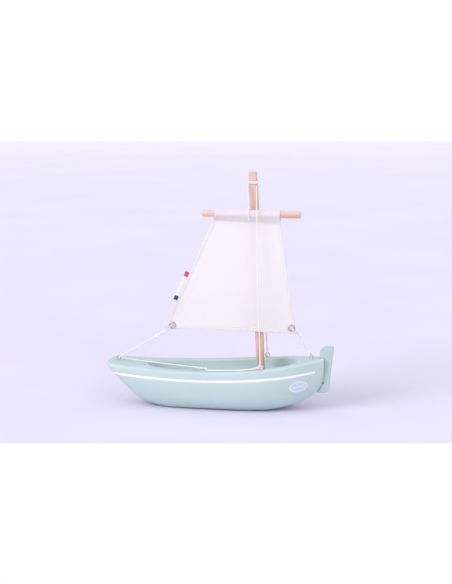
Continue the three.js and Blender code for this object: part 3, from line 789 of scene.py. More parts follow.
def cockpit_loops():
    """The cockpit's rounded rim, its wall, the curve at the wall's foot and the floor."""
    loops = []
    for step in range(1, 7):
        turn = math.pi / 2 * step / 6
        inset = -RIM_RADIUS * (1 - math.sin(turn))
        drop = RIM_RADIUS * (1 - math.cos(turn))
        loops.append(with_height(cockpit_outline(inset), lambda x: deck_height(x) - drop))
    for step in range(1, WALL_STEPS + 1):
        share = step / WALL_STEPS
        fade = min(1, 4 * share, 4 * (1 - share))
        ridge = TOOL_RIDGE * math.sin(2 * math.pi * TOOL_PASSES * share) * fade
        loops.append(with_height(
            cockpit_outline(WALL_DRAFT * share + ridge),
            lambda x: mix(deck_height(x) - RIM_RADIUS, COCKPIT_FLOOR + FLOOR_RADIUS, share),
        ))
    for step in range(1, 8):
        turn = math.pi / 2 * step / 7
        loops.append(with_height(
            cockpit_outline(WALL_DRAFT + (FLOOR_INSET - WALL_DRAFT) * (1 - math.cos(turn))),
            lambda x: COCKPIT_FLOOR + FLOOR_RADIUS * (1 - math.sin(turn)),
        ))
    floor = cockpit_outline(FLOOR_INSET)
    middle = np.column_stack([floor[:, 0] * 0.6 + 3, np.zeros(len(floor))])
    for share in (0.2, 0.45, 0.7, 0.9):
        loops.append(with_height(mix(floor, middle, share), lambda x: COCKPIT_FLOOR))
    return loops


def prism(outline, low, high, shift=0.0):
    """Upright prism over a plan outline; its top is shifted along X."""
    return strips([
        np.column_stack([outline, np.full(len(outline), low)]),
        np.column_stack([np.array(outline) + (shift, 0), np.full(len(outline), high)]),
    ])


def cut(piece, solids):
    """Takes each (points, faces) solid out of a piece."""
    for points, faces in solids:
        tool = linked("cutter", scaled_mesh("cutter", points, faces))
        modifier = piece.modifiers.new("cut", "BOOLEAN")
        modifier.operation = "DIFFERENCE"
        modifier.solver = "EXACT"
        modifier.object = tool
        with bpy.context.temp_override(object=piece, active_object=piece, selected_objects=[piece]):
            bpy.context.view_layer.objects.active = piece
            bpy.ops.object.modifier_apply(modifier=modifier.name)
        bpy.data.objects.remove(tool)


MAST_SIDE = 7.5
MAST_RAKE = 0.0443
MAST_FOOT = 8.4
MAST_HOLE_TOP = 40
MAST_TOP = 234.8


def mast_x(z):
    return 41 - MAST_RAKE * (z - 44.1)


def round_points(x, y, radius, count):
    angles = round_angles(count)
    return np.column_stack([x + radius * np.cos(angles), y + radius * np.sin(angles)])


def slot_outline():
    """Plan of the rudder's slot: round at the front and flared aft."""
    front = [
        (RUDDER_AXIS + SLOT_HALF * math.cos(a), SLOT_HALF * math.sin(a))
        for a in np.linspace(math.pi / 2, 1.5 * math.pi, 17)
    ]
    return np.array([*front, (RUDDER_AXIS + 6, -SLOT_FLARE), (RUDDER_AXIS + 6, SLOT_FLARE)])


def add_hull():
    hull = add_piece("hull_body", *strips([*skin_loops(), *deck_loops(), *cockpit_loops()]), PAINT)
    step = MAST_SIDE / 2 + 0.3
    low = mast_x(MAST_FOOT)
    square = np.array([(low - step, -step), (low + step, -step), (low + step, step), (low - step, step)])
    cut(hull, [
        prism(square, MAST_FOOT - 0.3, MAST_HOLE_TOP, -MAST_RAKE * (MAST_HOLE_TOP - MAST_FOOT)),
        prism(slot_outline(), -5, 65),
        prism(round_points(BALLAST_X, 0, BALLAST_RADIUS + 0.3, 48), -2, 14.3),
    ])
    hull.data.set_sharp_from_angle(angle=EDGE_ANGLE)
    place(hull, "hull", "hull_paint", "hull")


add_hull()


def add_stripe():
    """White paint in the groove: a thin band from one quarter round the bow to the other, with round ends."""
    middle = level_line(stripe_level(0), STRIPE_POINTS)
    start = int(np.argmin(np.abs(middle[:STRIPE_POINTS // 2 + 1, 0] - STRIPE_END + 0.3)))
    order = np.concatenate([np.arange(STRIPE_POINTS - start, STRIPE_POINTS), np.arange(0, start + 1)])
    columns = []
    for offset in (-1.22, -0.8, 0, 0.8, 1.22):
        line = level_line(stripe_level(offset), STRIPE_POINTS)
        lifted = line - outward(line) * (STRIPE_DEPTH * (1.06 if abs(offset) < 1 else 0.80) - 0.05)
        columns.append(np.column_stack([lifted, [stripe_height(x) + offset for x in lifted[:, 0]]])[order])
    band = np.array(columns)
    centre = band[2].copy()
    travelled = np.concatenate([[0], np.cumsum(np.linalg.norm(np.diff(centre, axis=0), axis=1))])
    for i, at in enumerate(travelled):
        to_end = min(at, travelled[-1] - at)
        narrow = math.sqrt(max(0.02, 1 - (1 - min(1, to_end / 1.3)) ** 2))
        band[:, i] = centre[i] + (band[:, i] - centre[i]) * narrow
    points = [tuple(p) for row in band for p in row]
    count = len(order)
    faces = []
    for row in range(len(band) - 1):
        for i in range(count - 1):
            a = row * count + i
            faces.append((a, a + 1, a + 1 + count, a + count))
    stripe = add_piece("hull_stripe", points, faces, WHITE_PAINT, 80)
    place(stripe, "hull", "hull_paint")


add_stripe()


# ---------------------------------------------------------------- emblem on the port quarter

EMBLEM = (80.9, 27.1)
EMBLEM_HALF = (8.5, 5.4)
EMBLEM_TILT = math.radians(-10)
EMBLEM_STEPS = 72


def on_port_side(along, up, lift):
    """A point on the port side of the hull, from the emblem's own axes."""
    c, s = math.cos(EMBLEM_TILT), math.sin(EMBLEM_TILT)
    x = EMBLEM[0] + along * c + up * s
    z = EMBLEM[1] - along * s + up * c
    return (x, -half_breadth(x, z / rail_height(x)) - lift, z)


def oval(half_length, half_height, lift):
    """An oval in the emblem's axes, laid on the hull."""
    turns = [2 * math.pi * (i / EMBLEM_STEPS) for i in range(EMBLEM_STEPS)]
    return [on_port_side(half_length * math.cos(t), half_height * math.sin(t), lift) for t in turns]


def band_between(inner, outer, lift):
    """Thin raised band between two ovals."""
    loops = [oval(*inner, 0.02), oval(*inner, lift), oval(*outer, lift), oval(*outer, 0.02)]
    return strips(loops, False, False)


def wave_band(height, half_length, width):
    """A wavy line across the emblem, with its top edge first and its bottom edge after."""
    top, bottom = [], []
    steps = 48
    for i in range(steps + 1):
        along = mix(-half_length, half_length, i / steps)
        up = height + 0.55 * math.sin(along * 1.25)
        thin = width * math.sqrt(max(0.05, 1 - (along / half_length) ** 4))
        top.append(on_port_side(along, up + thin, 0.11))
        bottom.append(on_port_side(along, up - thin, 0.11))
    points = top + bottom
    faces = [(i, i + 1, steps + 2 + i, steps + 1 + i) for i in range(steps)]
    return points, faces


def add_emblem():
    rings = [oval(EMBLEM_HALF[0] * r, EMBLEM_HALF[1] * r, 0.06) for r in (1.0, 0.8, 0.55, 0.3, 0.1)]
    base = add_piece("hull_emblem_ground", *strips(rings, False, True), EMBLEM_GROUND, 80)
    rim = [band_between((7.6, 4.5), EMBLEM_HALF, 0.12), wave_band(-0.1, 5.6, 0.4)]
    waves = [wave_band(1.5, 4.6, 0.3), wave_band(-1.7, 4.6, 0.3), band_between((6.8, 3.75), (7.1, 4.0), 0.1)]
    lines = add_piece("hull_emblem_rim", *join_parts(rim), WHITE_PAINT, 60)
    water = add_piece("hull_emblem_waves", *join_parts(waves), EMBLEM_WAVE, 60)
    for piece in (base, lines, water):
        place(piece, "hull", "hull_paint")


add_emblem()


# ---------------------------------------------------------------- ballast under the floor


def lathe(profile, count=48):
    """Loops round the Z axis from (radius, height) pairs."""
    angles = round_angles(count)
    return [
        np.column_stack([r * np.cos(angles), r * np.sin(angles), np.full(count, h)]) for r, h in profile
    ]


def softened(radius, low, high, edge):
    """Profile of a turned disc with rounded edges."""
    turns = [math.pi / 2 * i / 5 for i in range(6)]
    first = [(radius - edge * (1 - math.sin(t)), low + edge * (1 - math.cos(t))) for t in turns]
    return first + [(r, low + high - h) for r, h in reversed(first)]


def moved(part, by):
    points, faces = part
    return [tuple(np.array(p) + by) for p in points], faces


def add_ballast():
    plug = [(0.6, 0.55), (6.8, 0.5), (7.2, 0.32), *softened(BALLAST_RADIUS, 0.3, 3.3, 0.35)[2:]]
    for node, profile, material, slot in (
        ("ballast_slug", softened(BALLAST_RADIUS, 3.6, 14, 0.5), STEEL, "steel"),
        ("ballast_plug", plug, PAINT, "hull_paint"),
    ):
        add_part(node, moved(strips(lathe(profile)), (BALLAST_X, 0, 0)), material, slot)


add_ballast()


# ---------------------------------------------------------------- mast and yard

YARD_CENTRE = (32.7, -9.6, 195.2)
YARD_RADIUS = 3.25
YARD_LENGTH = 95.6


def rounded_square(half, corner, steps=5):
    outline = []
    for quarter in range(4):
        for i in range(steps + 1):
            angle = math.pi / 2 * (quarter + i / steps)
            cx = (half - corner) * (1 if quarter in (0, 3) else -1)
            cy = (half - corner) * (1 if quarter in (0, 1) else -1)
            outline.append((cx + corner * math.cos(angle), cy + corner * math.sin(angle)))
    return np.array(outline)


def add_mast():
    half = MAST_SIDE / 2
    edges = [
        (MAST_FOOT, 0.5), (MAST_FOOT + 0.15, 0.2), (MAST_FOOT + 0.5, 0), (16, 0), (60, 0), (120, 0), (180, 0),
        (MAST_TOP - 0.45, 0), (MAST_TOP - 0.15, 0.13), (MAST_TOP, 0.45),
    ]
    loops = []
    for z, inset in edges:
        outline = rounded_square(half - inset, max(0.15, 0.45 - inset))
        loops.append(np.column_stack([outline[:, 0] + mast_x(z), outline[:, 1], np.full(len(outline), z)]))
    add_part("mast", strips(loops), MAST_WOOD, "beech", 50)


def add_yard():
    half = YARD_LENGTH / 2
    profile = softened(YARD_RADIUS, -half, half, 0.45)
    middle = len(profile) // 2
    profile = profile[:middle] + [(YARD_RADIUS, h) for h in (-30, 0, 30)] + profile[middle:]
    points, faces = strips(lathe(profile, 56))
    turned = [(p[2] + YARD_CENTRE[0], p[0] + YARD_CENTRE[1], -p[1] + YARD_CENTRE[2]) for p in points]
    add_part("yard", (turned, faces), YARD_WOOD, "dowel", 50, "yard")


add_mast()
add_yard()


# ---------------------------------------------------------------- rudder and its hinge

RUDDER_BOTTOM = 17.9
RUDDER_HALF = 2.5
HEEL_FRONT = 96.9
HEEL_TOP = 21.2
GUDGEON_HEIGHTS = (28, 44)
CORNER_REACH = 1.1
PIN_RADIUS = 0.7


def curve_through(start, control, end, steps=14):
    t = np.linspace(0, 1, steps + 1)[1:, None]
    a, b, c = np.array(start), np.array(control), np.array(end)
    return [tuple(p) for p in (1 - t) ** 2 * a + 2 * t * (1 - t) * b + t**2 * c]


def rudder_outline():
    front = RUDDER_AXIS - RUDDER_HALF
    outline = [(HEEL_FRONT, RUDDER_BOTTOM), (105.4, RUDDER_BOTTOM)]
    outline += curve_through((105.4, RUDDER_BOTTOM), (109.2, RUDDER_BOTTOM), (109.7, 22.6))
    outline += curve_through((109.7, 22.6), (110.6, 40), (112.3, 51.5))
    outline += [(113.8, 64.3), (105.6, 64.3)]
    outline += curve_through((105.6, 64.3), (100.7, 64), (front, 58.8))
    outline += [(front, 50), (front, 38), (front, 27), (front, HEEL_TOP)]
    return rounded_corners(outline)


def rounded_corners(outline):
    """Eases each sharp corner of a closed outline and spaces its points."""
    result = []
    count = len(outline)
    for i in range(count):
        before, here, after = (np.array(outline[(i + k) % count], float) for k in (-1, 0, 1))
        into = (here - before) / np.linalg.norm(here - before)
        out = (after - here) / np.linalg.norm(after - here)
        if into.dot(out) > 0.9:
            result.append(tuple(here))
            continue
        cut_back = min(CORNER_REACH, np.linalg.norm(here - before) / 2.2, np.linalg.norm(after - here) / 2.2)
        first, last = here - into * cut_back, here + out * cut_back
        result.append(tuple(first))
        result += curve_through(first, here, last, 6)
    return np.array(result)


def add_rudder():
    outline = rudder_outline()
    # This outline runs the other way round from the hull's level lines
    normal = -outward(outline)
    front_share = np.array([
        (1 - ease((x - 100.1) / 2.5)) * ease((z - HEEL_TOP + 0.3) / 1.3) for x, z in outline
    ])
    toe_share = np.array([1 - ease((x - 97.2) / 2.5) for x in outline[:, 0]])
    radius = 0.85 + 1.6 * front_share - 0.7 * toe_share
    loops = []
    for side in (-1, 1):
        turns = [math.pi / 2 * i / 7 for i in range(8)]
        for t in turns if side < 0 else reversed(turns):
            inset = radius * (1 - math.sin(t))
            y = side * (RUDDER_HALF - radius * (1 - math.cos(t)))
            flat = outline - normal * inset[:, None]
            loops.append(np.column_stack([flat[:, 0], y, flat[:, 1]]))
    # The rudder's darker paint is painted shade; the real rudder has the hull's paint
    rudder = add_piece("rudder_body", *strips(loops), RUDDER_PAINT_SHADED, 45)
    cut(rudder, [prism(round_points(RUDDER_AXIS, 0, 1.0, 24), 10, 51.3)] + [
        prism(round_points(RUDDER_AXIS, 0, 3.1, 40), z - 0.9, z + 0.9) for z in GUDGEON_HEIGHTS
    ])
    rudder.data.set_sharp_from_angle(angle=EDGE_ANGLE)
    place(rudder, "rudder", "hull_paint", "rudder")
    pin = moved(strips(lathe(softened(PIN_RADIUS, RUDDER_BOTTOM + 0.6, 51, 0.3), 24)), (RUDDER_AXIS, 0, 0))
    add_part("rudder_pin", pin, BRASS, "brass", body="rudder")


RING_POINTS = 56


def wire_ring(centre, facing, radius, wire, gap=0.0, start=0.0, sides=12):
    """A ring of wire, or one left open by a small gap beside its neck."""
    facing = Vector(facing).normalized()
    across = facing.cross(Vector((0, 0, 1)) if abs(facing.z) < 0.9 else Vector((0, 1, 0))).normalized()
    up = across.cross(facing).normalized()
    if up.z < -0.5:
        up = -up
    steps = RING_POINTS if gap == 0 else RING_POINTS - 1
    turns = [start + (2 * math.pi - gap) * i / steps for i in range(RING_POINTS)]
    across, up = np.array(across), np.array(up)
    path = [np.array(centre) + radius * (across * math.cos(t) + up * math.sin(t)) for t in turns]
    return tube(path, wire, sides, closed=gap == 0)


def add_rudder_eyes():
    for name, z in zip(("lower", "upper"), GUDGEON_HEIGHTS):
        ring = wire_ring((RUDDER_AXIS, 0, z), (0, 0, 1), 1.9, 0.5, 0.25, math.pi * 1.03)
        shank = tube([(RUDDER_AXIS - forward, 0, z) for forward in (10.5, 6, 1.9)], 0.5, 12)
        add_part(f"rudder_eye_{name}", join_parts([ring, shank]), BRASS, "brass")


add_rudder()
add_rudder_eyes()


# ---------------------------------------------------------------- screw eyes on the deck

EYE_RING = 1.95
EYE_WIRE = 0.55
EYE_SHANK = 8


def add_screw_eyes():
    rings = {"bow": BOW_RING, "stern": STERN_RING, "port": PORT_RING, "starboard": STARBOARD_RING}
    for name, centre in rings.items():
        deck = centre[2] - EYE_HEIGHT
        ring = wire_ring(centre, RING_FACING[name], EYE_RING, EYE_WIRE, 0.2, -math.pi / 2 + 0.12)
        neck = centre[2] - EYE_RING
        point = deck - EYE_SHANK
        heights = [point, point + 0.7, deck - 1, deck - 0.1, deck + 0.15, neck - 0.15, neck + 0.2]
        widths = [0.1, 0.42, 0.5, 0.5, 0.62, 0.62, 0.52]
        shank = tube([(centre[0], centre[1], z) for z in heights], widths, 14)
        add_part(f"{name}_screw_eye", join_parts([ring, shank]), ZINC, "nickel")


add_screw_eyes()


# ---------------------------------------------------------------- hitches, knots and lashings

SERVING_TURNS = 17
SERVING_RADIUS = 0.76


def served_ring(centre):
    """Fine cord wound closely round the port screw eye."""
    points = SERVING_TURNS * 14
    path = []
    for i in range(points):
        share = i / (points - 1)
        around = mix(-0.35 * math.pi, 1.35 * math.pi, share)
        wound = 2 * math.pi * SERVING_TURNS * share
        reach = EYE_RING + SERVING_RADIUS * math.cos(wound)
        sideways = SERVING_RADIUS * math.sin(wound)
        path.append(centre + (reach * math.cos(around), sideways, reach * math.sin(around)))
    return tube(path, 0.2, 7)


def add_hitches():
    lines = {
        "bow": (BOW_RING, TACK_KNOT), "stern": (STERN_RING, CLEW_KNOT),
        "port": (PORT_RING, np.array(PORT_ABOVE)), "starboard": (STARBOARD_RING, np.array(STARBOARD_ABOVE)),
    }
    for name, (centre, towards) in lines.items():
        line = toward(centre, towards)
        side = np.cross(line, Vector(RING_FACING[name]).normalized())
        loop = wire_ring(centre + line * (HITCH_RADIUS + HITCH_OFFSET), side, HITCH_RADIUS, 0.5, 0, 0, 10)
        knot_at = centre + line * HITCH_KNOT
        parts = [loop, tube([knot_at - line * 0.9, knot_at, knot_at + line * 1.5], 0.5, 10)]
        parts.append(trefoil(knot_at, 1.05 if name == "port" else 1.7, 0.42, 0.6))
        if name == "port":
            parts.append(served_ring(centre))
        add_tied(f"{name}_hitch", parts)


def add_knot(node, centre, size, turn):
    heart = lathe(softened(size * 0.5, -size * 0.45, size * 0.45, size * 0.3), 16)
    parts = [trefoil(centre, size, size * 0.31, turn), moved(strips(heart), centre)]
    add_tied(node, parts)


TACK = (-55.4, 74.6)
HEAD = 191.4
SAIL_FOOT_Y = -5.6
SAIL_HEAD_Y = -9.6
BIGHT_SPREAD = 2.3


def sail_y(z):
    """How far to port the sail hangs at a height: it leans out towards the yard."""
    return mix(SAIL_FOOT_Y, SAIL_HEAD_Y, clamp01((z - TACK[1]) / (HEAD - TACK[1])))


def bight(eyelet, knot, spread_out):
    """Doubled cord through an eyelet: out from the knot in front of the sail and back behind it."""
    ex, ez = eyelet
    y = sail_y(ez)
    out = math.copysign(1, knot[0] - ex)
    near = (mix(ex, knot[0], 0.45), mix(ez, knot[2], 0.45))
    last = (mix(ex, knot[0], 0.92), mix(ez, knot[2], 0.92))
    front = [
        (last[0], knot[1] - 0.5, last[1]), (near[0], y - spread_out * 0.85, near[1]),
        (ex + out * 2.2, y - spread_out - 0.3, ez - 0.6), (ex + out * 0.3, y - spread_out * 0.62, ez),
    ]
    back = [(x, 2 * y - yy, z) for x, yy, z in reversed(front)]
    back[-1] = (last[0], knot[1] + 0.5, last[1])
    return [*front, (ex, y, ez), *back]


def add_bights():
    for name, eyelet, knot, declared in (
        ("tack", TACK_EYELET, TACK_KNOT, True), ("clew", CLEW_EYELET, CLEW_KNOT, False)
    ):
        add_cord(f"{name}_bight", bight(eyelet, knot, BIGHT_SPREAD), THIN_CORD_DIAMETER)


def add_masthead_band():
    """Two turns of cord round the square mast, under its head."""
    square = rounded_square(MAST_SIDE / 2 + 0.72, 1.1, 6)
    laps = 2
    count = len(square)
    path = []
    for i in range(laps * count + 1):
        x, y = square[i % count]
        z = 223.9 + 2.4 * i / (laps * count)
        path.append((mast_x(z) + x, y, z))
    cord = laid_cord(smooth_line(path, 0.3), 1.3)
    knot = trefoil((mast_x(225) + 1.2, MAST_SIDE / 2 + 1.15, 225.2), 1.3, 0.42, 1.1)
    piece = add_piece("masthead_cord", *join_parts([cord, knot]), CORD, 60)
    place(piece, "hull", "cord", "masthead_lashing")


LASHING_X = 30.4
LASHING_RADIUS = 5.3


def add_yard_lashing():
    ring = wire_ring((LASHING_X, YARD_CENTRE[1], YARD_CENTRE[2]), (1, 0, 0), LASHING_RADIUS, 0.58, 0, 0, 12)
    top = (LASHING_X, YARD_CENTRE[1] - 0.2, YARD_CENTRE[2] + LASHING_RADIUS + 0.3)
    parts = [ring, trefoil(top, 1.35, 0.42, 0.4)]
    # Worked buttonhole where the cord passes through both layers of cloth
    for side in (-1, 1):
        hole = (LASHING_X, YARD_CENTRE[1] + side * 1.3, YARD_CENTRE[2] - 5.14)
        parts.append(wire_ring(hole, (0, side * 0.97, -0.24), 0.85, 0.22, 0, 0, 8))
    add_tied("yard_lashing", parts, 60, "yard")


def add_sling():
    piece, _ = cord_piece("yard_sling", YARD_SLING)
    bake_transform(piece)
    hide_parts("yard_sling")


add_hitches()
add_knot("tack_knot", TACK_KNOT, 1.7, 0.5)
add_knot("clew_knot", CLEW_KNOT, 1.7, 1.4)
add_knot("rim_knot", RIM_KNOT, 1.45, 0.2)
add_knot("sheet_tail_knot", np.array((79.2, -5.1, 60.7)), 1.25, 0.9)
add_bights()
add_masthead_band()
add_yard_lashing()
add_sling()


# ---------------------------------------------------------------- sail

CLEW = (78.2, 77.4)
LEECH_BEND = (75.2, 88.6)
HEAD_ENDS = (-3.6, 60.4)
SEAM_ENDS = (189.0, 187.2)
CLOTH_HALF = 0.22
HEM_HALF = 0.42
SIDE_HEM = 3.0
FOOT_HEM = 3.9


def luff_x(z):
    return mix(TACK[0], HEAD_ENDS[0], (z - TACK[1]) / (HEAD - TACK[1]))


def leech_x(z):
    if z < LEECH_BEND[1]:
        return mix(CLEW[0], LEECH_BEND[0], (z - CLEW[1]) / (LEECH_BEND[1] - CLEW[1]))
    return mix(LEECH_BEND[0], HEAD_ENDS[1], (z - LEECH_BEND[1]) / (HEAD - LEECH_BEND[1]))


def foot_rise(across):
    """How far the foot is cut up into the sail, most of it towards the tack."""
    return 3.6 * math.sin(math.pi * across**0.62) + 1.3 * (1 - across)


def sail_flat(across, down):
    """Point on the flat sail: across from the luff to the leech, down from the sleeve's seam to the foot."""
    left_z = mix(SEAM_ENDS[0], TACK[1], down)
    right_z = mix(SEAM_ENDS[1], CLEW[1], down)
    left = (luff_x(left_z), left_z)
    right = (leech_x(right_z), right_z)
    x, z = mix(left[0], right[0], across), mix(left[1], right[1], across)
    z += foot_rise(across) * ease((down - 0.25) / 0.75)
    return x, sail_y(z), z


DRAPE_ACROSS = 72
DRAPE_DOWN = 62
DRAPE_SCALE = 10.0
DRAPE_FRAMES = 46


def drape_start():
    """The flat grid below the sleeve, row by row from its seam to its foot."""
    across = [i / DRAPE_ACROSS for i in range(DRAPE_ACROSS + 1)]
    return np.array([[sail_flat(u, j / DRAPE_DOWN) for u in across] for j in range(DRAPE_DOWN + 1)])


def held_share(point):
    """How firmly the drape is held near the two eyelets."""
    held = 0.0
    for x, z in (TACK_EYELET, CLEW_EYELET):
        held = max(held, 1 - ease((math.hypot(point[0] - x, point[2] - z) - 4.2) / 6))
    return held


def simple_billow(grid):
    """A simple billow, from which the simulated drape starts."""
    moved_by = np.zeros_like(grid)
    for j in range(grid.shape[0]):
        for i in range(grid.shape[1]):
            u, v = i / (grid.shape[1] - 1), j / (grid.shape[0] - 1)
            swell = math.sin(math.pi * u) * math.sin(math.pi * min(1, v * 0.62)) * 2.4
            moved_by[j, i, 1] = -swell * (1 - held_share(grid[j, i]))
    return moved_by


def simulated_drape(grid):
    """Cotton hung from the yard and held at its two eyelets, settled as cloth at ten times full size."""
    rows, columns = grid.shape[:2]
    start = grid + simple_billow(grid) * 0.6
    scale = MM * DRAPE_SCALE
    faces = [
        (j * columns + i, j * columns + i + 1, (j + 1) * columns + i + 1, (j + 1) * columns + i)
        for j in range(rows - 1) for i in range(columns - 1)
    ]
    drape = linked("drape", scaled_mesh("drape", start.reshape(-1, 3), faces, scale))
    group = drape.vertex_groups.new(name="held")
    for index, point in enumerate(grid.reshape(-1, 3)):
        weight = 1.0 if index < columns else held_share(point)
        if weight > 0:
            group.add([index], weight, "REPLACE")
    cloth = drape.modifiers.new("cloth", "CLOTH")
    cloth.settings.vertex_group_mass = "held"
    cloth.settings.quality = 7
    cloth.settings.mass = 0.25
    cloth.settings.tension_stiffness = 35
    cloth.settings.compression_stiffness = 22
    cloth.settings.shear_stiffness = 12
    cloth.settings.bending_stiffness = 0.6
    cloth.settings.air_damping = 3.0
    cloth.settings.shrink_min = -0.0012
    cloth.settings.pin_stiffness = 1.0
    cloth.collision_settings.use_collision = False
    cloth.point_cache.frame_start = 1
    cloth.point_cache.frame_end = DRAPE_FRAMES
    scene = bpy.context.scene
    gravity = tuple(scene.gravity)
    scene.gravity = (0, -0.5, -2.5)
    for step in range(1, DRAPE_FRAMES + 1):
        scene.frame_set(step)
    settled = drape.evaluated_get(bpy.context.evaluated_depsgraph_get()).to_mesh()
    points = np.array([v.co for v in settled.vertices]).reshape(rows, columns, 3) / scale
    drape.modifiers.clear()
    bpy.data.objects.remove(drape)
    scene.gravity = gravity
    scene.frame_set(1)
    return points - grid


def cubic_weights(share, count):
    """Index and weights of the four even samples round a place from 0 to 1."""
    at = clamp01(share) * (count - 1)
    k = min(int(at), count - 2)
    t = at - k
    weights = (
        0.5 * (-t + 2 * t**2 - t**3), 0.5 * (2 - 5 * t**2 + 3 * t**3), 0.5 * (t + 4 * t**2 - 3 * t**3),
        0.5 * (t**3 - t**2),
    )
    places = [min(count - 1, max(0, k + step)) for step in (-1, 0, 1, 2)]
    return places, weights


def sampled(field, across, down):
    rows, row_weights = cubic_weights(down, field.shape[0])
    columns, column_weights = cubic_weights(across, field.shape[1])
    total = np.zeros(3)
    for row, row_weight in zip(rows, row_weights):
        for column, column_weight in zip(columns, column_weights):
            total += field[row, column] * row_weight * column_weight
    return total


class Sail:
    """The settled sail, which any of its parts can be laid on."""

    def __init__(self):
        grid = drape_start()
        self.field = simulated_drape(grid)
        self.field[..., 1] = np.minimum(self.field[..., 1], 0.55)

    def point(self, across, down):
        """Middle of the cloth, with the small puckers that its seams draw up."""
        x, y, z = sail_flat(across, down)
        moved_by = sampled(self.field, across, down)
        puckers = 0.16 * math.sin(x * 2.15 + 0.6 * math.sin(x * 0.31)) * math.exp(-down * 20)
        puckers += 0.11 * math.sin(x * 1.7 + 1.1 * math.sin(x * 0.23)) * math.exp(-(1 - down) * 24)
        width = leech_x(z) - luff_x(z)
        for from_edge in (across * width, (1 - across) * width):
            puckers += 0.13 * math.sin(z * 1.45 + 0.9 * math.sin(z * 0.17)) * math.exp(-from_edge / 4)
        calm = 1 - held_share((x, y, z))
        return np.array((x + moved_by[0], y + moved_by[1] + puckers * calm, z + moved_by[2]))

    def across_at(self, from_edge, down, leech=False):
        """The across share at a distance in millimetres from an edge."""
        x_left = sail_flat(0, down)[0]
        x_right = sail_flat(1, down)[0]
        share = from_edge / (x_right - x_left)
        return 1 - share if leech else share


def sleeve_section(radius, drop):
    """Section of the sleeve from its turned edge behind the sail, over the yard and down to the seam."""
    lean = math.asin(radius / drop)
    reach = math.pi / 2 + lean
    tangent = math.sqrt(drop**2 - radius**2)
    section = [(0.62, -drop - 1.9), (0.58, -drop - 1.2), (0.5, -drop - 0.5), (0.55, -drop + 0.2)]
    touch = (radius * math.cos(lean), -radius * math.sin(lean))
    for share in (0.22, 0.45, 0.7, 0.9):
        section.append((mix(0.25, touch[0], share), mix(-drop, touch[1], share)))
    for i in range(25):
        angle = mix(-lean, math.pi + lean, i / 24)
        section.append((radius * math.cos(angle), radius * math.sin(angle)))
    for share in (0.1, 0.3, 0.55, 0.78):
        section.append((mix(-touch[0], 0, share), mix(touch[1], -drop, share)))
    return section, reach * radius * 2 + tangent * 2


def edge_distances(width, fine, count):
    """Distances across a row: fine steps in each hem and even ones between."""
    left = list(fine)
    middle = list(np.linspace(fine[-1], width - fine[-1], count + 1)[1:-1])
    return left + middle + [width - d for d in reversed(fine)]


SIDE_STEPS = (0, 0.3, 0.9, 1.7, 2.3, SIDE_HEM - 0.15, SIDE_HEM + 0.2, SIDE_HEM + 0.9)
FOOT_STEPS = (0, 0.35, 1.2, 2.3, 3.1, FOOT_HEM - 0.15, FOOT_HEM + 0.2, FOOT_HEM + 1.0)
BODY_COLUMNS = 74
BODY_ROWS = 84
SLEEVE_RADIUS = 3.95
STITCH_PITCH = 2.1
STITCH_RADIUS = 0.13


def hem_half(from_left, from_right, from_foot):
    """Half the cloth's thickness: thicker in the turned hems, with slightly rounded outer edges."""
    nearest = min(from_left, from_right)
    half = CLOTH_HALF
    if nearest < SIDE_HEM or from_foot < FOOT_HEM:
        half = HEM_HALF
    if min(nearest, from_foot) < 0.05:
        half *= 0.55
    return half


def sail_surface(sail):
    """Rows of middle points and half thicknesses, from the sleeve's turned edge to the foot."""
    rows, halves = [], []
    seam_width = sail_flat(1, 0)[0] - sail_flat(0, 0)[0]
    distances = edge_distances(seam_width, SIDE_STEPS, BODY_COLUMNS)
    sections = []
    for d in distances:
        x = sail_flat(0, 0)[0] + d
        seam = mix(SEAM_ENDS[0], SEAM_ENDS[1], d / seam_width)
        section, _ = sleeve_section(SLEEVE_RADIUS, YARD_CENTRE[2] - seam)
        sections.append((x, seam, section))
    for k in range(len(sections[0][2])):
        row, half_row = [], []
        for d, (x, seam, section) in zip(distances, sections):
            y, z = section[k]
            low = clamp01(-z / 7)
            crease = 0.17 * math.sin(x * 1.9 + 0.9 * math.sin(x * 0.4)) * low
            crease += 0.10 * math.sin(x * 0.55 + z * 0.8) * (1 - low)
            tuck = 1.7 * (1 - d / seam_width) ** 2 * (1 - low)
            foot_y = sail_y(seam) - YARD_CENTRE[1]
            outward_y = y / 4 if abs(y) > 0.8 else 0
            row.append((x + tuck, YARD_CENTRE[1] + y + foot_y * low + crease * outward_y, YARD_CENTRE[2] + z))
            half_row.append(hem_half(d, seam_width - d, 99))
        rows.append(row)
        halves.append(half_row)
    length = SEAM_ENDS[0] - TACK[1]
    downs = [0] + [d / length for d in np.linspace(0, length - FOOT_STEPS[-1], BODY_ROWS)[1:-1]]
    downs += [1 - d / length for d in reversed(FOOT_STEPS)]
    for down in downs:
        width = sail_flat(1, down)[0] - sail_flat(0, down)[0]
        row, half_row = [], []
        for d in edge_distances(width, SIDE_STEPS, BODY_COLUMNS):
            row.append(tuple(sail.point(d / width, down)))
            half_row.append(hem_half(d, width - d, (1 - down) * length))
        rows.append(row)
        halves.append(half_row)
    return np.array(rows), np.array(halves)


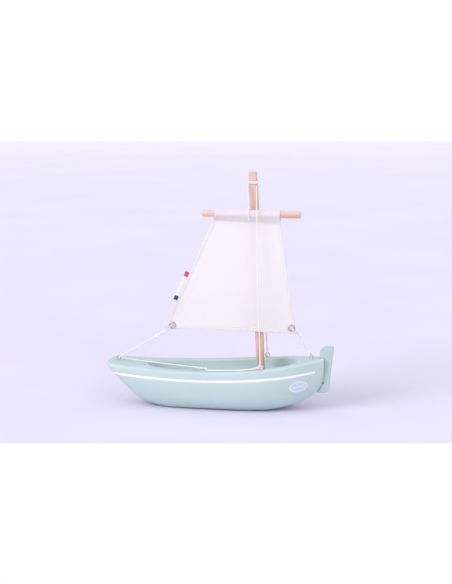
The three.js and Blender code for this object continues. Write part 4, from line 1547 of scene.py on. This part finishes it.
def thick_sheet(rows, halves):
    """Closed mesh from a sheet's middle points and half thicknesses."""
    down = np.gradient(rows, axis=0)
    along = np.gradient(rows, axis=1)
    normal = np.cross(down, along)
    normal /= np.linalg.norm(normal, axis=2)[..., None]
    count_down, count_along = rows.shape[:2]
    front = rows + normal * halves[..., None]
    back = rows - normal * halves[..., None]
    points = [tuple(p) for p in front.reshape(-1, 3)] + [tuple(p) for p in back.reshape(-1, 3)]
    shift = count_down * count_along
    faces = []
    for j in range(count_down - 1):
        for i in range(count_along - 1):
            a = j * count_along + i
            faces.append((a, a + 1, a + 1 + count_along, a + count_along))
            faces.append((shift + a, shift + a + count_along, shift + a + 1 + count_along, shift + a + 1))
    border = [(0, i) for i in range(count_along - 1)]
    border += [(j, count_along - 1) for j in range(count_down - 1)]
    border += [(count_down - 1, i) for i in range(count_along - 1, 0, -1)]
    border += [(j, 0) for j in range(count_down - 1, 0, -1)]
    ids = [j * count_along + i for j, i in border]
    for a, b in zip(ids, ids[1:] + ids[:1]):
        faces.append((b, a, shift + a, shift + b))
    return points, faces


def capsule(start, end, radius):
    """One stitch: a short rounded thread."""
    along = end - start
    path = [start + along * share for share in (0, 0.12, 0.5, 0.88, 1)]
    return tube(path, [radius * w for w in (0.35, 0.9, 1, 0.9, 0.35)], 6)


def stitched_line(place_at, length):
    """Lockstitch along a line. place_at gives (point, outward) at a distance along it."""
    parts = []
    count = int(length / STITCH_PITCH)
    for k in range(count):
        for side in (1, -1):
            start, normal = place_at((k + 0.12) * length / count)
            end, _ = place_at((k + 0.86) * length / count)
            parts.append(capsule(start + normal * side, end + normal * side, STITCH_RADIUS))
    return parts


def add_stitching(sail):
    length = SEAM_ENDS[0] - TACK[1]
    outward_step = np.array((0, -(HEM_HALF + 0.02), 0))
    parts = []

    def beside(from_edge, leech):
        def at(distance):
            down = distance / length
            return sail.point(sail.across_at(from_edge, down, leech), down), outward_step
        return at

    for from_edge in (SIDE_HEM - 0.55, 0.55):
        for leech in (False, True):
            parts += stitched_line(beside(from_edge, leech), length)
    foot_length = CLEW[0] - TACK[0]

    def above_foot(height):
        return lambda distance: (sail.point(distance / foot_length, 1 - height / length), outward_step)

    parts += stitched_line(above_foot(FOOT_HEM - 0.5), foot_length)
    seam_length = sail_flat(1, 0)[0] - sail_flat(0, 0)[0]
    parts += stitched_line(
        lambda distance: (sail.point(distance / seam_length, 0.008), np.array((0, -(CLOTH_HALF + 0.03), 0))),
        seam_length,
    )
    stitching = add_piece("sail_stitching", *join_parts(parts), THREAD, 70)
    return stitching


TAG_ENDS = (106.9, 135.2)
TAG_REACH = np.array((-4.5, 0, 1.95))
TAG_SQUARE = 0.155


def add_tag():
    """Folded ribbon sewn into the luff, white with a plain red and a plain navy square."""
    low, high = TAG_ENDS
    rows = 48
    half = 0.26
    loops = []
    for k in range(rows + 1):
        share = k / rows
        z = mix(low, high, share)
        sewn = np.array((luff_x(z) + 0.3, sail_y((low + high) / 2) + 0.16 * math.sin(share * 5.2 + 0.6), z))
        loop = []
        reaches = [0, 0.3, 0.6, 0.88, 0.97]
        for side, steps in ((-1, reaches), (1, reaches[::-1])):
            for u in steps:
                bulge = half * (1 - 0.45 * ease((u - 0.86) / 0.12)) + 0.12 * math.sin(math.pi * u)
                loop.append(sewn + TAG_REACH * u + (0, side * bulge, 0))
            if side < 0:
                loop.append(sewn + TAG_REACH)
        loops.append(loop)
    tag = add_piece("sail_tag_ribbon", *strips(loops), RIBBON, 60)
    tag.data.materials.append(RED_PRINT)
    tag.data.materials.append(NAVY_PRINT)
    along = np.array((luff_x(high) - luff_x(low), 0, high - low))
    for face in tag.data.polygons:
        share = (np.array(face.center) / MM - (luff_x(low), 0, low)).dot(along) / along.dot(along)
        if share > 1 - TAG_SQUARE:
            face.material_index = 1
        elif share < TAG_SQUARE:
            face.material_index = 2
    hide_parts("sail_tag")
    return tag


def add_eyelets():
    """Rolled sail eyelets and the washers behind the cloth."""
    lean = math.atan((SAIL_FOOT_Y - SAIL_HEAD_Y) / (HEAD - TACK[1]))
    rest = 0.5
    front = [
        (2.4, 0.62), (2.42, rest + 0.3), (2.52, rest + 0.6), (2.75, rest + 0.75), (3, rest + 0.68),
        (3.25, rest + 0.42), (3.4, rest + 0.12), (3.38, rest - 0.02), (3.2, rest - 0.05),
        (2.56, rest - 0.05), (2.56, -rest - 0.55), (2.52, -rest - 0.8), (2.46, -rest - 0.85),
        (2.4, -rest - 0.6),
    ]
    washer = [
        (2.68, -rest + 0.05), (3.25, -rest + 0.05), (3.32, -rest - 0.1), (3.2, -rest - 0.32),
        (2.98, -rest - 0.42), (2.72, -rest - 0.36), (2.64, -rest - 0.15),
    ]
    pieces = []
    for name, (x, z) in (("tack", TACK_EYELET), ("clew", CLEW_EYELET)):
        centre = np.array((x, sail_y(z), z))
        for profile, node in ((front, f"{name}_eyelet"), (washer, f"{name}_eyelet_washer")):
            loops = lathe(profile, 56)
            points, faces = strips([*loops, loops[0]], False, False)
            stood = []
            for px, py, pz in points:
                forward = -pz * math.cos(lean) + py * math.sin(lean)
                up = py * math.cos(lean) - pz * math.sin(lean)
                stood.append(tuple(centre + (px, forward, up)))
            pieces.append(add_part(node, (stood, faces), NICKEL, "nickel", 35))
    return pieces


def across_cutter(x, z, radius):
    """A short cylinder along Y."""
    ring = [(x + radius * math.cos(a), z + radius * math.sin(a)) for a in round_angles(28)]
    return strips([[(px, y, pz) for px, pz in ring] for y in (-16, 2)])


def add_sail():
    sail = Sail()
    rows, halves = sail_surface(sail)
    cloth = add_piece("sail_cloth", *thick_sheet(rows, halves), COTTON, 50)
    cloth.data.materials.append(SLEEVE_COTTON_SHADED)
    # Faces above the sleeve's seam take the darker sleeve cotton, which is painted shade on the same cloth
    for face in cloth.data.polygons:
        across = (face.center.x / MM - HEAD_ENDS[0]) / (HEAD_ENDS[1] - HEAD_ENDS[0])
        if face.center.z / MM > mix(SEAM_ENDS[0], SEAM_ENDS[1], across):
            face.material_index = 1
    cut(cloth, [across_cutter(x, z, 2.62) for x, z in (TACK_EYELET, CLEW_EYELET)])
    stitching = add_stitching(sail)
    tag = add_tag()
    for piece in (cloth, stitching, tag):
        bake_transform(piece)
    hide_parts("sail")
    eyelets = add_eyelets()


add_sail()


# ---------------------------------------------------------------- stage and light

FLOOR_NEAR = -0.131
FLOOR_FAR = 2.90
FLOOR_SIDE = 5.0
MARGIN_NEAR = -4.0
MARGIN_HEIGHT = 0.5
SKY_LEVEL = 0.36
SKY_OVERHEAD = 1.10


def glowing(name, colour, strength):
    """A backdrop that shines evenly."""
    shader = Shader(name)
    emission = shader.node("ShaderNodeEmission", in_Color=colour, in_Strength=strength)
    shader.link(emission.outputs["Emission"], shader.output.inputs["Surface"])
    return shader.material


def stage_piece(name, corners, material):
    """A flat stage piece, with its corners in a frame that faces the camera."""
    turn = Matrix.Rotation(CAMERA_AZIMUTH, 3, "Z")
    mesh = scaled_mesh(name, [turn @ Vector(c) for c in corners], [(0, 1, 2, 3)], 1)
    mesh.materials.append(material)
    linked(name, mesh)


def add_stage():
    """Pale lavender ground that ends in a plain white margin, both behind the boat and in front of it."""
    ground = Shader("pale_ground")
    speckle = ground.noise(ground.place(), 6.0, 3.0)
    tone = ground.ramp(speckle, (0.3, linear(224, 222, 234)), (0.7, linear(227, 225, 237)))
    white = glowing("white_margin", (1, 1, 1, 1), 1.0)
    level = [(-FLOOR_SIDE, 0), (FLOOR_SIDE, 0), (FLOOR_SIDE, 1), (-FLOOR_SIDE, 1)]
    flats = (
        ("ground", FLOOR_NEAR, FLOOR_FAR, ground.finish(tone, 0.95, Specular_IOR_Level=0.05)),
        ("front_margin", MARGIN_NEAR, FLOOR_NEAR, white),
    )
    for name, near, far, material in flats:
        stage_piece(name, [(x, mix(near, far, end), 0) for x, end in level], material)
    stage_piece("back_margin", [(x, FLOOR_FAR, mix(-0.1, MARGIN_HEIGHT, end)) for x, end in level], white)


def add_sun(name, azimuth, elevation, softness, strength, colour=(1, 1, 1)):
    """A wide soft light. azimuth is in degrees from the camera's side, positive to its right."""
    data = bpy.data.lights.new(name, "SUN")
    data.angle = math.radians(softness)
    data.energy = strength
    data.color = colour
    light = linked(name, data)
    bearing = CAMERA_AZIMUTH + math.radians(azimuth)
    up = math.radians(elevation)
    source = Vector((math.sin(bearing) * math.cos(up), -math.cos(bearing) * math.cos(up), math.sin(up)))
    light.rotation_euler = source.to_track_quat("Z", "Y").to_euler()


def add_light():
    """A sky that is brighter overhead, a wide key from the left and a weaker fill from the right."""
    world = bpy.data.worlds.new("studio")
    bpy.context.scene.world = world
    world.use_nodes = True
    tree = world.node_tree
    background = tree.nodes["Background"]
    background.inputs["Color"].default_value = (0.93, 0.91, 1.0, 1)
    coordinates = tree.nodes.new("ShaderNodeTexCoord")
    split = tree.nodes.new("ShaderNodeSeparateXYZ")
    height = tree.nodes.new("ShaderNodeMapRange")
    height.inputs["To Min"].default_value = SKY_LEVEL
    height.inputs["To Max"].default_value = SKY_OVERHEAD
    tree.links.new(coordinates.outputs["Generated"], split.inputs["Vector"])
    tree.links.new(split.outputs["Z"], height.inputs["Value"])
    tree.links.new(height.outputs["Result"], background.inputs["Strength"])
    add_sun("key", -58, 29, 34, 1.52, (1.0, 0.97, 1.0))
    add_sun("fill", 30, 27, 40, 0.6, (1.0, 0.98, 1.0))
    bpy.context.scene.view_settings.view_transform = "Standard"
    bpy.context.scene.view_settings.look = "None"


add_stage()
add_light()
